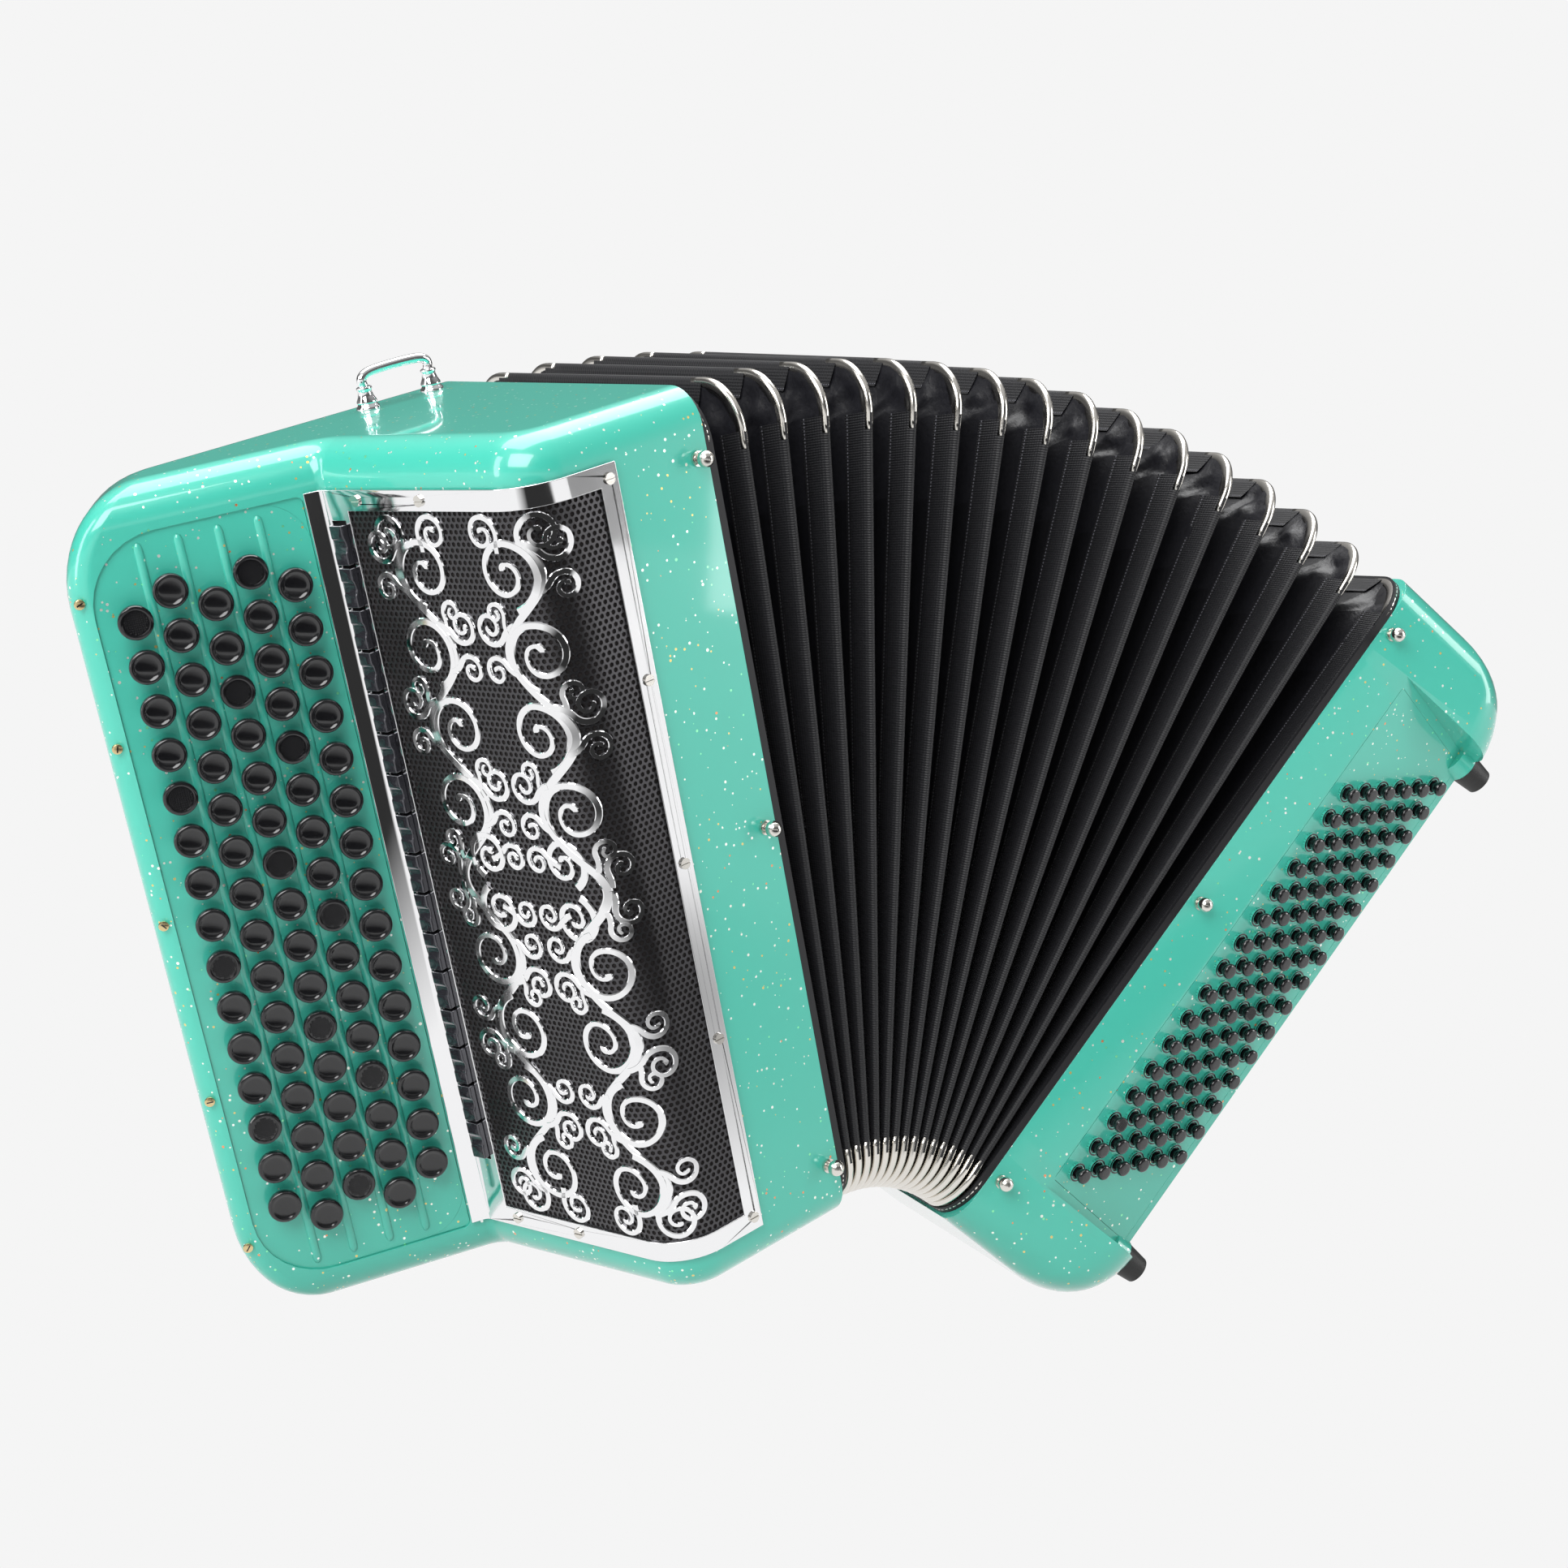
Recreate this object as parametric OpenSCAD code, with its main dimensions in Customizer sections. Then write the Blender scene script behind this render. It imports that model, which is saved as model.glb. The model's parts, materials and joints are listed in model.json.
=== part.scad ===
// Chromatic button accordion standing open like a fan on its two bodies.
// Treble frame: x = 0 at the first bellows frame, -x to the player's right hand,
// -y to the front, z along the case. Bass frame: the same, carried round the fan hinge.

/* [Case] */
// Depth of both cases and of the bellows, front to back
case_depth = 192; // [186:1:198]
// Length of the bellows frames
bellows_len = 372; // [366:1:378]
// How far the cases stand past the bellows frames at each end
case_over = 1.5; // [0.5:0.1:3]
// Wall thickness of both cases
wall = 6; // [5:0.5:7]
// Width of the treble case from the bellows to the hand side
treble_w = 216; // [212:1:222]
// Width of the bass case from the bellows to its outer end
bass_w = 98.5; // [96:0.5:102]
// Big corner radius at the hand side of the treble case
treble_r = 46; // [36:1:56]
// Big corner radius at the outer end of the bass case
bass_r = 42; // [38:1:46]

/* [Keyboard] */
// Spacing of the buttons along a row
btn_pitch = 19; // [18.6:0.1:19.2]
// Spacing of the rows across the keyboard
row_pitch = 16.5; // [16.2:0.1:16.8]
// Diameter of a treble button head
btn_d = 14.6; // [13.6:0.1:14.8]
// Height of the button heads' tops above the plate
btn_h = 8.5; // [8:0.1:10]
// How far a treble button goes down
btn_travel = 3.2; // [2.5:0.1:3.6]
// Diameter of the button stems
stem_d = 5; // [4:0.1:6]
// Radial running clearance of the stems
stem_clear = 0.1; // [0.05:0.01:0.2]
// Thickness of the keyboard plate
plate_t = 3; // [2.5:0.1:3.5]
// Slope of the keyboard against the back of the case
key_slope = 23.2; // [22.6:0.1:23.8]

/* [Grille] */
// Thickness of the perforated sheet
sheet_t = 0.8; // [0.6:0.1:1]
// Thickness of the chrome frame and of the scrollwork
frame_t = 1.2; // [1:0.1:1.6]
// Width of the chrome frame
frame_w = 9; // [8:0.5:10]
// Width of the scrollwork's bars
scroll_w = 2.6; // [2.2:0.1:3]

/* [Bellows] */
// Thickness of a bellows ring over its metal corners
ring_t = 3.3; // [3:0.1:3.4]
// Pitch of the rings when the bellows is closed
closed_pitch = 3.75; // [3.7:0.01:3.9]
// Pitch of the rings along the bottom when the fan is open
open_pitch = 6.05; // [5.9:0.01:6.2]
// Angle between the two bodies when the fan is open
fan_angle = 57.8; // [56:0.1:59]
// Corner radius of the rings
ring_r = 22; // [20:1:24]
// Width of the tape on a ring
tape_w = 12; // [10:0.5:13]
// How deep the pleats go in from the edge of the rings
pleat_depth = 26; // [24:0.5:30]

/* [Bass] */
// Spacing of the bass buttons along the case
bass_pitch = 14.75; // [14.6:0.05:14.9]
// Spacing of the bass rows across the panel
bass_row_pitch = 10.3; // [10:0.1:10.6]
// How far each bass row is set higher than the one before it
bass_slant = 7.6; // [7.2:0.1:8]
// Diameter of a bass button
bass_btn_d = 7.4; // [6.8:0.1:7.8]
// Height of a bass button above the panel
bass_btn_h = 7; // [6:0.1:8]
// How far a bass button goes down
bass_travel = 3; // [2:0.1:3.4]
// How far the hand strap stands off at its middle
strap_bulge = 31; // [28:1:36]

/* [Pose] */
// Tilt of the treble frame about X in the open pose
tilt_x = 1.9866; // [-8:0.0001:8]
// Tilt of the treble frame about Y in the open pose
tilt_y = -18.0985; // [-24:0.0001:-12]
// Shift that puts the box's middle over the origin
shift_x = -40.5983; // [-400:0.0001:400]
// The same along Y
shift_y = 53.9613; // [-400:0.0001:400]
// Lift that puts the lowest points at zero height
lift = 54.4370; // [0:0.0001:200]

/* [Hidden] */
$fn = 48;
hd = case_depth / 2;
zlo = -case_over;
zhi = bellows_len + case_over;
zmid = bellows_len / 2;
fan_dip = 22.6;
fan_yaw = 1.7;
hn = [cos(fan_dip) * sin(fan_yaw), cos(fan_dip) * cos(fan_yaw), -sin(fan_dip)];
n_rings = 16;
// treble outline, as outward normals and distances
a_key = 270 - key_slope;
d_border = 22.6;
d_plate = d_border - 1.2;
a_wall = 189;
d_wall = 105.6;
a_side = 145;
d_side = treble_w - 3;
edge_r = 16;
// point on the plate's face from which rows and buttons are counted
key_x0 = -189.2;
key_y0 = (d_plate - cos(a_key) * key_x0) / sin(a_key);
key_z0 = 329.2;
row_n = [15, 16, 15, 16, 15];
row_off = [0.5, 0, 0.5, 0, 0.5];
win_x0 = -15;
win_x1 = 77.4;
win_z0 = 16;
win_z1 = 354;
gr_z0 = 18;
gr_z1 = 355;
board_x = -40;
board_t = 4;
pad_y0 = -70;
pad_step = 34;
axle_x = board_x - 11;
axle_dy = 13;
axle_r = 1;
axle_clear = 0.06;
case_face = -2;
flange_back = -1.95;
seat_gap = 0.3;
pin_z = [345, 186, 27];
pin_r = 1.6;
pin_clear = 0.05;
wheel_out = bass_r + 2.5;
panel_x0 = 28;
rec_z0 = 38;
rec_z1 = 335;
panel_t = 3;
panel_slope = 22.6;
bass_z0 = 273.8;

// ---------- poses of the rings about the fan hinge ----------
function rotn(p, a) = p * cos(a) + cross(hn, p) * sin(a) + hn * (hn * p) * (1 - cos(a));
function ring_a(k) = fan_angle * pow(k / n_rings, 1.13);
function chain(k) = k <= 0 ? [0, 0, 0]
  : chain(k - 1) + rotn([open_pitch, 0, 0], (ring_a(k - 1) + ring_a(k)) / 2);
function ring_p(k) = chain(k) - hn * ((chain(k) - [k * closed_pitch, 0, 0]) * hn);
module in_world() {
  translate([shift_x, shift_y, lift]) rotate([tilt_x, tilt_y, 0]) children();
}
module in_ring(k) {
  in_world() translate(ring_p(k)) rotate(a = ring_a(k), v = hn) children();
}
module in_bass() {
  in_ring(n_rings) children();
}
// keyboard frame: x across the rows, y into the case, z along the rows
module in_key() {
  in_world() translate([key_x0, key_y0, 0]) rotate([0, 0, -key_slope]) children();
}
// wall frame: x up the grille wall from the valley, y into the case
module on_wall() {
  translate([valley[0], valley[1], 0]) rotate([0, 0, a_wall - 270]) children();
}
module in_panel() {
  in_bass() translate([panel_x0, -hd, 0]) rotate([0, 0, panel_slope]) children();
}

// ---------- outlines ----------
function isect(a1, d1, a2, d2) =
  [(d1 * sin(a2) - d2 * sin(a1)) / sin(a2 - a1), (cos(a1) * d2 - cos(a2) * d1) / sin(a2 - a1)];
function vex(a1, d1, a2, d2, r, t, n) = let (c = isect(a1, d1 - r, a2, d2 - r))
  [for (i = [0:n]) let (a = a1 + (a2 - a1) * i / n) c + (r - t) * [cos(a), sin(a)]];
function cave(a1, d1, a2, d2, r, t, n) = let (c = isect(a1, d1 + r, a2, d2 + r))
  [for (i = [0:n]) let (a = a1 + (a2 - a1) * i / n) c - (r + t) * [cos(a), sin(a)]];
valley = isect(a_wall, d_wall, a_key, d_border);
function treble_plan(t) = concat(
  [[12, -hd + t]],
  vex(270, hd, a_wall, d_wall, 22, t, 12),
  cave(a_wall, d_wall, a_key, d_border, 5, t, 6),
  vex(a_key, d_border, a_side, d_side, 10, t, 8),
  vex(a_side, d_side, 90, hd, 24, t, 8),
  [[12, hd - t]]);
// the same in two overlapping parts: the body behind the wall, and the keyboard's wedge
function body_plan(t) = concat(
  [[12, -hd + t]],
  vex(270, hd, a_wall, d_wall, 22, t, 12),
  [isect(a_wall, d_wall - t, 90, hd - t), [12, hd - t]]);
function wedge_plan(t) = concat(
  [isect(a_key, d_border - t, 0, 12)],
  vex(a_key, d_border, a_side, d_side, 10, t, 8),
  vex(a_side, d_side, 90, hd, 24, t, 8),
  [[12, hd - t]]);
function bass_plan(t) = concat(
  [[-12, -hd + t]],
  vex(270, hd, 360, bass_w, 26, t, 10),
  vex(0, bass_w, 90, hd, 14, t, 8),
  [[-12, hd - t]]);
// front view of a case of width w and corner radius r, its bellows side at x = -12
module case_front(w, r, t) {
  polygon(concat(
    [[-12, zlo + t]],
    vex(270, -zlo, 360, w, r, t, 14),
    vex(0, w, 90, zhi, r, t, 14),
    [[-12, zhi - t]]));
}
module case_side(t) {
  polygon(concat(
    vex(-90, -zlo, 0, hd, edge_r, t, 8),
    vex(0, hd, 90, zhi, edge_r, t, 8),
    vex(90, zhi, 180, hd, edge_r, t, 8),
    vex(180, hd, 270, -zlo, edge_r, t, 8)));
}
// one face's rounded ends, for a face at x = 0 with the case behind it
module face_side(t) {
  polygon(concat(
    [[500, zlo + t]],
    vex(270, -zlo, 180, 0, edge_r, t, 8),
    vex(180, 0, 90, zhi, edge_r, t, 8),
    [[500, zhi - t]]));
}
// the solid common to the plan, the front view and the side view
module treble_form(t) {
  intersection() {
    translate([0, hd + 1, 0]) rotate([90, 0, 0]) linear_extrude(case_depth + 2)
      mirror([1, 0]) case_front(treble_w, treble_r, t);
    translate([-treble_w - 1, 0, 0]) rotate([90, 0, 90]) linear_extrude(treble_w + 20) case_side(t);
    union() {
      intersection() {
        translate([0, 0, zlo]) linear_extrude(zhi - zlo) polygon(body_plan(t));
        on_wall() translate([-300, 0, 0]) rotate([90, 0, 90]) linear_extrude(700) face_side(t);
      }
      intersection() {
        translate([0, 0, zlo]) linear_extrude(zhi - zlo) polygon(wedge_plan(t));
        translate([key_x0, key_y0, 0]) rotate([0, 0, -key_slope]) translate([-300, d_plate - d_border, 0])
          rotate([90, 0, 90]) linear_extrude(700) face_side(t);
      }
    }
  }
}
module bass_form(t) {
  intersection() {
    translate([0, 0, zlo]) linear_extrude(zhi - zlo) polygon(bass_plan(t));
    translate([0, hd + 1, 0]) rotate([90, 0, 0]) linear_extrude(case_depth + 2)
      case_front(bass_w, bass_r, t);
    translate([-20, 0, 0]) rotate([90, 0, 90]) linear_extrude(bass_w + 22) case_side(t);
  }
}
module rrect(w, h, r) {
  translate([r, 0]) square([w - 2 * r, h]);
  translate([0, r]) square([w, h - 2 * r]);
  for (x = [r, w - r]) for (y = [r, h - r]) translate([x, y]) circle(r);
}
// band of the treble plan between two insets, from the keyboard's edge to the front strip
module plan_band(t0, t1) {
  intersection() {
    difference() {
      polygon(treble_plan(t0));
      polygon(treble_plan(t1));
    }
    union() {
      translate([-140, -120]) square([90.5, 120]);
      translate([key_x0, key_y0]) rotate(-key_slope) translate([win_x1 + 0.4, -30]) square([60, 40]);
    }
  }
}
module wall_window(t0, t1) {
  intersection() {
    difference() {
      polygon(treble_plan(t0));
      polygon(treble_plan(t1));
    }
    translate([-140, -120]) square([140 - 49.5 - frame_w, 120 + valley[1] - 15.6]);
  }
}

// ---------- treble ----------
module treble_casing() {
  color([0.16, 0.72, 0.58]) in_world() difference() {
    treble_form(0);
    treble_form(wall);
    translate([case_face, -hd - 1, zlo - 1]) cube([30, case_depth + 2, zhi - zlo + 2]);
    // keyboard window and its rebate
    translate([key_x0, key_y0, 0]) rotate([0, 0, -key_slope]) {
      translate([win_x0, 4.2 + 0, win_z0]) rotate([90, 0, 0]) linear_extrude(8)
        rrect(win_x1 - win_x0, win_z1 - win_z0, 20);
      translate([win_x0 + 4, 9, win_z0 + 4]) rotate([90, 0, 0]) linear_extrude(12)
        rrect(win_x1 - win_x0 - 8, win_z1 - win_z0 - 8, 17);
    }
    // opening behind the grille, and the slot for the register switches
    translate([0, 0, gr_z0 + frame_w + 3]) linear_extrude(gr_z1 - gr_z0 - 2 * frame_w - 6)
      wall_window(-1, wall + 4);
    on_wall() translate([4.2, -1, 50]) cube([8.6, 12, 292]);
    for (z = pin_z) for (s = [-1, 1]) translate([-8, s * (hd - 10), z]) rotate([90, 0, 0])
      cylinder(r = pin_r + pin_clear, h = 40, center = true);
    // seats of the strap bows
    for (x = bow_x) {
      translate([x, bow_y, zhi - 9]) cylinder(r = 2.1, h = 12);
      translate([x, bow_y, zlo - 3]) cylinder(r = 2.1, h = 12);
    }
  }
}
module keyboard_plate() {
  color([0.16, 0.72, 0.58]) in_key() difference() {
    union() {
      translate([win_x0 + 0.15, plate_t, win_z0 + 0.15]) rotate([90, 0, 0]) linear_extrude(plate_t)
        rrect(win_x1 - win_x0 - 0.3, win_z1 - win_z0 - 0.3, 20);
      // light ridges between the rows
      for (i = [0:3]) translate([(i + 0.5) * row_pitch, 0, win_z0 + 10]) intersection() {
        cylinder(r = 1.4, h = win_z1 - win_z0 - 20, $fn = 24);
        translate([-3, -0.9, 0]) cube([6, 2, 400]);
      }
    }
    for (i = [0:4]) for (j = [0:row_n[i] - 1])
      translate([i * row_pitch, 0, key_z0 - (row_off[i] + j) * btn_pitch]) rotate([90, 0, 0])
        cylinder(r = stem_d / 2 + stem_clear, h = 20, center = true, $fn = 24);
  }
}
module treble_button() {
  rotate([90, 0, 0]) {
    difference() {
      union() {
        translate([0, 0, btn_h - 4]) cylinder(d = btn_d, h = 3.2);
        translate([0, 0, btn_h - 0.8]) cylinder(d1 = btn_d, d2 = btn_d - 1.6, h = 0.8);
      }
      translate([0, 0, btn_h - 0.5]) cylinder(d1 = btn_d - 4.4, d2 = btn_d - 3.4, h = 1);
    }
    translate([0, 0, -11]) cylinder(d = stem_d, h = btn_h + 11 - 1, $fn = 24);
    translate([0, 0, -11]) cylinder(d = stem_d + 2.4, h = 1.6, $fn = 24);
  }
}
module treble_row(i) {
  color([0.03, 0.03, 0.03]) in_key() for (j = [0:row_n[i] - 1])
    translate([i * row_pitch, 0, key_z0 - (row_off[i] + j) * btn_pitch]) treble_button();
}
module treble_buttons_row_1() { treble_row(0); }
module treble_buttons_row_2() { treble_row(1); }
module treble_buttons_row_3() { treble_row(2); }
module treble_buttons_row_4() { treble_row(3); }
module treble_buttons_row_5() { treble_row(4); }
// a pad on its arm, hung on the axle beside it
module pallet() {
  difference() {
    union() {
      translate([board_x - 3.9, -9, -7]) cube([3.6, 18, 14]);
      translate([board_x - 8, -9, -1.5]) cube([4.2, 22, 3]);
      translate([axle_x, axle_dy, -3]) cylinder(r = 3, h = 6, $fn = 32);
    }
    translate([axle_x, axle_dy, -9]) cylinder(r = axle_r + axle_clear, h = 18, $fn = 32);
  }
}
module pallet_row(i) {
  color([0.75, 0.6, 0.42]) in_world() for (j = [0:row_n[i] - 1])
    translate([0, pad_y0 + i * pad_step, key_z0 - (row_off[i] + j) * btn_pitch]) pallet();
}
module treble_pallets_row_1() { pallet_row(0); }
module treble_pallets_row_2() { pallet_row(1); }
module treble_pallets_row_3() { pallet_row(2); }
module treble_pallets_row_4() { pallet_row(3); }
module treble_pallets_row_5() { pallet_row(4); }
module pallet_axles() {
  color([0.7, 0.7, 0.72]) in_world() for (i = [0:4])
    translate([axle_x, pad_y0 + i * pad_step + axle_dy, zlo + wall])
      cylinder(r = axle_r, h = zhi - zlo - 2 * wall, $fn = 32);
}
module treble_valve_board() {
  color([0.8, 0.66, 0.45]) in_world() difference() {
    translate([board_x, -hd + wall + seat_gap, 16]) cube([board_t, case_depth - 2 * (wall + seat_gap), 340]);
    for (i = [0:4]) for (j = [0:row_n[i] - 1])
      translate([board_x - 1, pad_y0 + i * pad_step - 5, key_z0 - (row_off[i] + j) * btn_pitch - 4])
        cube([board_t + 2, 10, 8]);
  }
}
block_y = [-51, -17, 17, 51];
module treble_reed_blocks() {
  color([0.86, 0.74, 0.55]) in_world() for (y = block_y)
    translate([board_x + board_t, y - 9, 22]) difference() {
      cube([31, 18, 328]);
      for (j = [0:9]) translate([4, -1, 6 + j * 32.2]) cube([22, 20, 24]);
    }
}
module treble_reed_plates() {
  color([0.75, 0.76, 0.78]) in_world() for (y = block_y) for (s = [-1, 1]) for (j = [0:9])
    translate([board_x + board_t + 2.5, y + s * 9.6 - 0.6, 26.5 + j * 32.2]) cube([25, 1.2, 27]);
}
module grille_sheet() {
  color([0.05, 0.05, 0.06]) in_world() difference() {
    translate([0, 0, gr_z0 + 1]) linear_extrude(gr_z1 - gr_z0 - 2) intersection() {
      plan_band(-sheet_t, 0);
      translate([-140, -120]) square([89, 120 + valley[1] - 3]);
    }
    on_wall() translate([4.2, -4, 50]) cube([8.6, 12, 292]);
  }
}
module grille_frame() {
  color([0.9, 0.9, 0.92]) in_world() difference() {
    translate([0, 0, gr_z0]) linear_extrude(gr_z1 - gr_z0) plan_band(-sheet_t - frame_t, -sheet_t);
    translate([0, 0, gr_z0 + frame_w]) linear_extrude(gr_z1 - gr_z0 - 2 * frame_w)
      wall_window(-8, 1);
    on_wall() translate([4.2, -6, 50]) cube([8.6, 12, 292]);
    for (p = screw_p) at_band(p[0]) translate([0, 0, p[1]]) rotate([90, 0, 0])
      cylinder(r = 1.3, h = 20, center = true, $fn = 24);
  }
}
// length of the flat part of the grille wall, from the valley to the hump
wall_len = norm(isect(270, hd, a_wall, d_wall) - valley);
// place on the grille's outside: s along the wall from the valley, or along the front strip
module at_band(s) {
  if (s < 1000) {
    on_wall() translate([s, -sheet_t - frame_t, 0]) children();
  }
  else {
    translate([-(s - 1000), -hd - sheet_t - frame_t, 0]) children();
  }
}
screw_p = [[22, gr_z1 - 4.5], [60, gr_z1 - 4.5], [1054, gr_z1 - 6], [1054, 266], [1054, 187],
  [1054, 108], [1054, gr_z0 + 6], [60, gr_z0 + 4.5], [22, gr_z0 + 4.5]];
module grille_screws() {
  color([0.85, 0.83, 0.78]) in_world() for (p = screw_p) at_band(p[0]) translate([0, 0, p[1]])
    rotate([90, 0, 0]) difference() {
      union() {
        cylinder(r = 2.4, h = 1, $fn = 32);
        translate([0, 0, -1.1]) cylinder(r = 1.2, h = 1.4, $fn = 24);
      }
      translate([-3, -0.3, 0.5]) cube([6, 0.6, 2]);
    }
}
// open scrolls on the wall: C-shaped rings that touch one another, and a stem
module cee(r, a0, a1) {
  difference() {
    circle(r + scroll_w / 2);
    circle(r - scroll_w / 2);
    rotate((a0 + a1) / 2) translate([r * 0.55, -r * 0.6]) square([r, r * 1.2]);
  }
  for (a = [a0, a1]) rotate(a) translate([r * 0.8, 0]) circle(scroll_w * 0.85);
}
module scroll_group() {
  translate([30, 0]) cee(15, -38, 38);
  translate([58, 0]) rotate(180) cee(13, -40, 40);
  translate([30, 25]) rotate(90) cee(10, -40, 40);
  translate([30, -25]) rotate(-90) cee(10, -40, 40);
  translate([58, 23]) rotate(40) cee(10, -40, 40);
  translate([58, -23]) rotate(-40) cee(10, -40, 40);
  translate([44, 0]) square([8, scroll_w], center = true);
  translate([44, 25]) square([10, scroll_w], center = true);
  translate([44, -25]) square([10, scroll_w], center = true);
  translate([18, 34]) circle(4);
}
module grille_scrollwork() {
  color([0.9, 0.9, 0.92]) in_world() on_wall() translate([0, -sheet_t, 0]) rotate([90, 0, 0])
    linear_extrude(frame_t) intersection() {
      union() {
        for (z = [72, 148.5, 225, 301.5]) translate([0, z]) scroll_group();
        translate([43, gr_z0 + frame_w - 1]) square([scroll_w, gr_z1 - gr_z0 - 2 * frame_w + 2]);
      }
      translate([16.1, gr_z0 + frame_w + 0.1]) square([65, gr_z1 - gr_z0 - 2 * frame_w - 0.2]);
    }
}
n_reg = 16;
module register_switches() {
  color([0.2, 0.2, 0.22]) in_world() on_wall() for (i = [0:n_reg - 1])
    translate([4.6, -sheet_t - frame_t - 3, 51.2 + i * 18.16]) difference() {
      cube([7.8, 9, 17]);
      translate([-1, -4.4, 8.5]) rotate([0, 90, 0]) cylinder(r = 5.4, h = 10, $fn = 40);
    }
}
bow_x = [-52, -18];
bow_y = 70;
// handle bow on two turned posts, drawn at height 0
module strap_bow() {
  for (x = bow_x) translate([x, bow_y, 0]) {
    translate([0, 0, -6]) cylinder(r = 2, h = 8, $fn = 32);
    cylinder(r1 = 4.6, r2 = 4.2, h = 2);
    translate([0, 0, 2]) cylinder(r1 = 4.2, r2 = 2.6, h = 5);
    translate([0, 0, 7]) cylinder(r = 3, h = 3);
  }
  mid = (bow_x[0] + bow_x[1]) / 2;
  half = (bow_x[1] - bow_x[0]) / 2;
  for (s = [0, 1]) translate([mid, bow_y, 9.8]) mirror([s, 0, 0]) translate([half - 6, 0, 0])
    rotate([90, 0, 0]) rotate_extrude(angle = 90) translate([6, 0]) circle(2.2, $fn = 24);
  translate([mid - half + 5.8, bow_y, 15.8]) rotate([0, 90, 0])
    cylinder(r = 2.3, h = 2 * half - 11.6, $fn = 24);
}
module strap_bow_top() {
  color([0.88, 0.88, 0.9]) in_world() translate([0, 0, zhi + 0.1]) strap_bow();
}
module strap_bow_bottom() {
  color([0.88, 0.88, 0.9]) in_world() translate([0, 0, zlo - 0.1]) mirror([0, 0, 1]) strap_bow();
}
// ball-headed pins that hold the bellows frame in the case, drawn for x = 0
module ball_pins() {
  for (z = pin_z) for (s = [-1, 1]) translate([0, s * hd, z]) rotate([s * 90, 0, 0]) {
    // the back's pins are set in under the face, so the case can lie on it
    if (s > 0) translate([0, 0, 0.6]) cylinder(r = pin_r, h = 9.9, $fn = 24);
    else {
      translate([0, 0, -1]) cylinder(r = pin_r, h = 11.5, $fn = 24);
      translate([0, 0, -3.2]) cylinder(r = 1.6, h = 3, $fn = 24);
      translate([0, 0, -5.6]) sphere(r = 3.6, $fn = 32);
      translate([0, 0, -1.3]) cylinder(r = 3.2, h = 1.2, $fn = 32);
    }
  }
}
module bellows_pins_treble() {
  color([0.85, 0.85, 0.86]) in_world() translate([-8, 0, 0]) ball_pins();
}

// ---------- bellows ----------
module frame_2d(t, r) {
  translate([-hd + t, t]) rrect(case_depth - 2 * t, bellows_len - 2 * t, max(r - t, 2));
}
module yz(x0, x1) {
  translate([x0, 0, 0]) rotate([90, 0, 90]) linear_extrude(x1 - x0) children();
}
module end_frame(s) {
  difference() {
    union() {
      yz(s > 0 ? flange_back : -ring_t / 2, s > 0 ? ring_t / 2 : -flange_back) frame_2d(0, ring_r);
      yz(s > 0 ? -13 : 1.9, s > 0 ? -1.9 : 13) frame_2d(wall + 0.4, ring_r);
    }
    yz(-20, 20) frame_2d(14, 12);
    for (z = pin_z) for (q = [-1, 1]) translate([s * -8, q * (hd - 6), z]) rotate([90, 0, 0])
      cylinder(r = pin_r + pin_clear, h = 14, center = true, $fn = 24);
  }
}
module bellows_frame_treble() {
  color([0.05, 0.05, 0.05]) in_world() end_frame(1);
}
module bellows_frame_bass() {
  color([0.05, 0.05, 0.05]) in_bass() end_frame(-1);
}
// a ring: four taped edges between four metal corners, all apart by a hair
module ring() {
  h = 0.02;
  for (z = [0, bellows_len - tape_w]) translate([-ring_t / 2 + 0.1, -hd + ring_r + h, z])
    cube([ring_t - 0.2, case_depth - 2 * ring_r - 2 * h, tape_w]);
  for (y = [-hd, hd - tape_w]) translate([-ring_t / 2 + 0.1, y, ring_r + h])
    cube([ring_t - 0.2, tape_w, bellows_len - 2 * ring_r - 2 * h]);
  for (s = [-1, 1]) for (q = [0, 1])
    translate([0, s * (hd - ring_r), q * (bellows_len - 2 * ring_r) + ring_r]) yz(-ring_t / 2, ring_t / 2)
      difference() {
        intersection() {
          circle(ring_r);
          translate([s > 0 ? 0 : -50, q > 0 ? 0 : -50]) square(50);
        }
        circle(ring_r - tape_w);
      }
}
module ring_node(k) {
  color([0.12, 0.12, 0.13]) in_ring(k) ring();
}
module bellows_ring_1() { ring_node(1); }
module bellows_ring_2() { ring_node(2); }
module bellows_ring_3() { ring_node(3); }
module bellows_ring_4() { ring_node(4); }
module bellows_ring_5() { ring_node(5); }
module bellows_ring_6() { ring_node(6); }
module bellows_ring_7() { ring_node(7); }
module bellows_ring_8() { ring_node(8); }
module bellows_ring_9() { ring_node(9); }
module bellows_ring_10() { ring_node(10); }
module bellows_ring_11() { ring_node(11); }
module bellows_ring_12() { ring_node(12); }
module bellows_ring_13() { ring_node(13); }
module bellows_ring_14() { ring_node(14); }
module bellows_ring_15() { ring_node(15); }
// the folded skin: one closed form through all the rings
skin_in = tape_w + 0.4;
skin_t = 2.6;
function loop8(s, x) = let (a = hd - s, b = s, t = bellows_len - s, c = 9)
  [[x, -a + c, b], [x, a - c, b], [x, a, b + c], [x, a, t - c], [x, a - c, t], [x, -a + c, t],
   [x, -a, t - c], [x, -a, b + c]];
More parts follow.
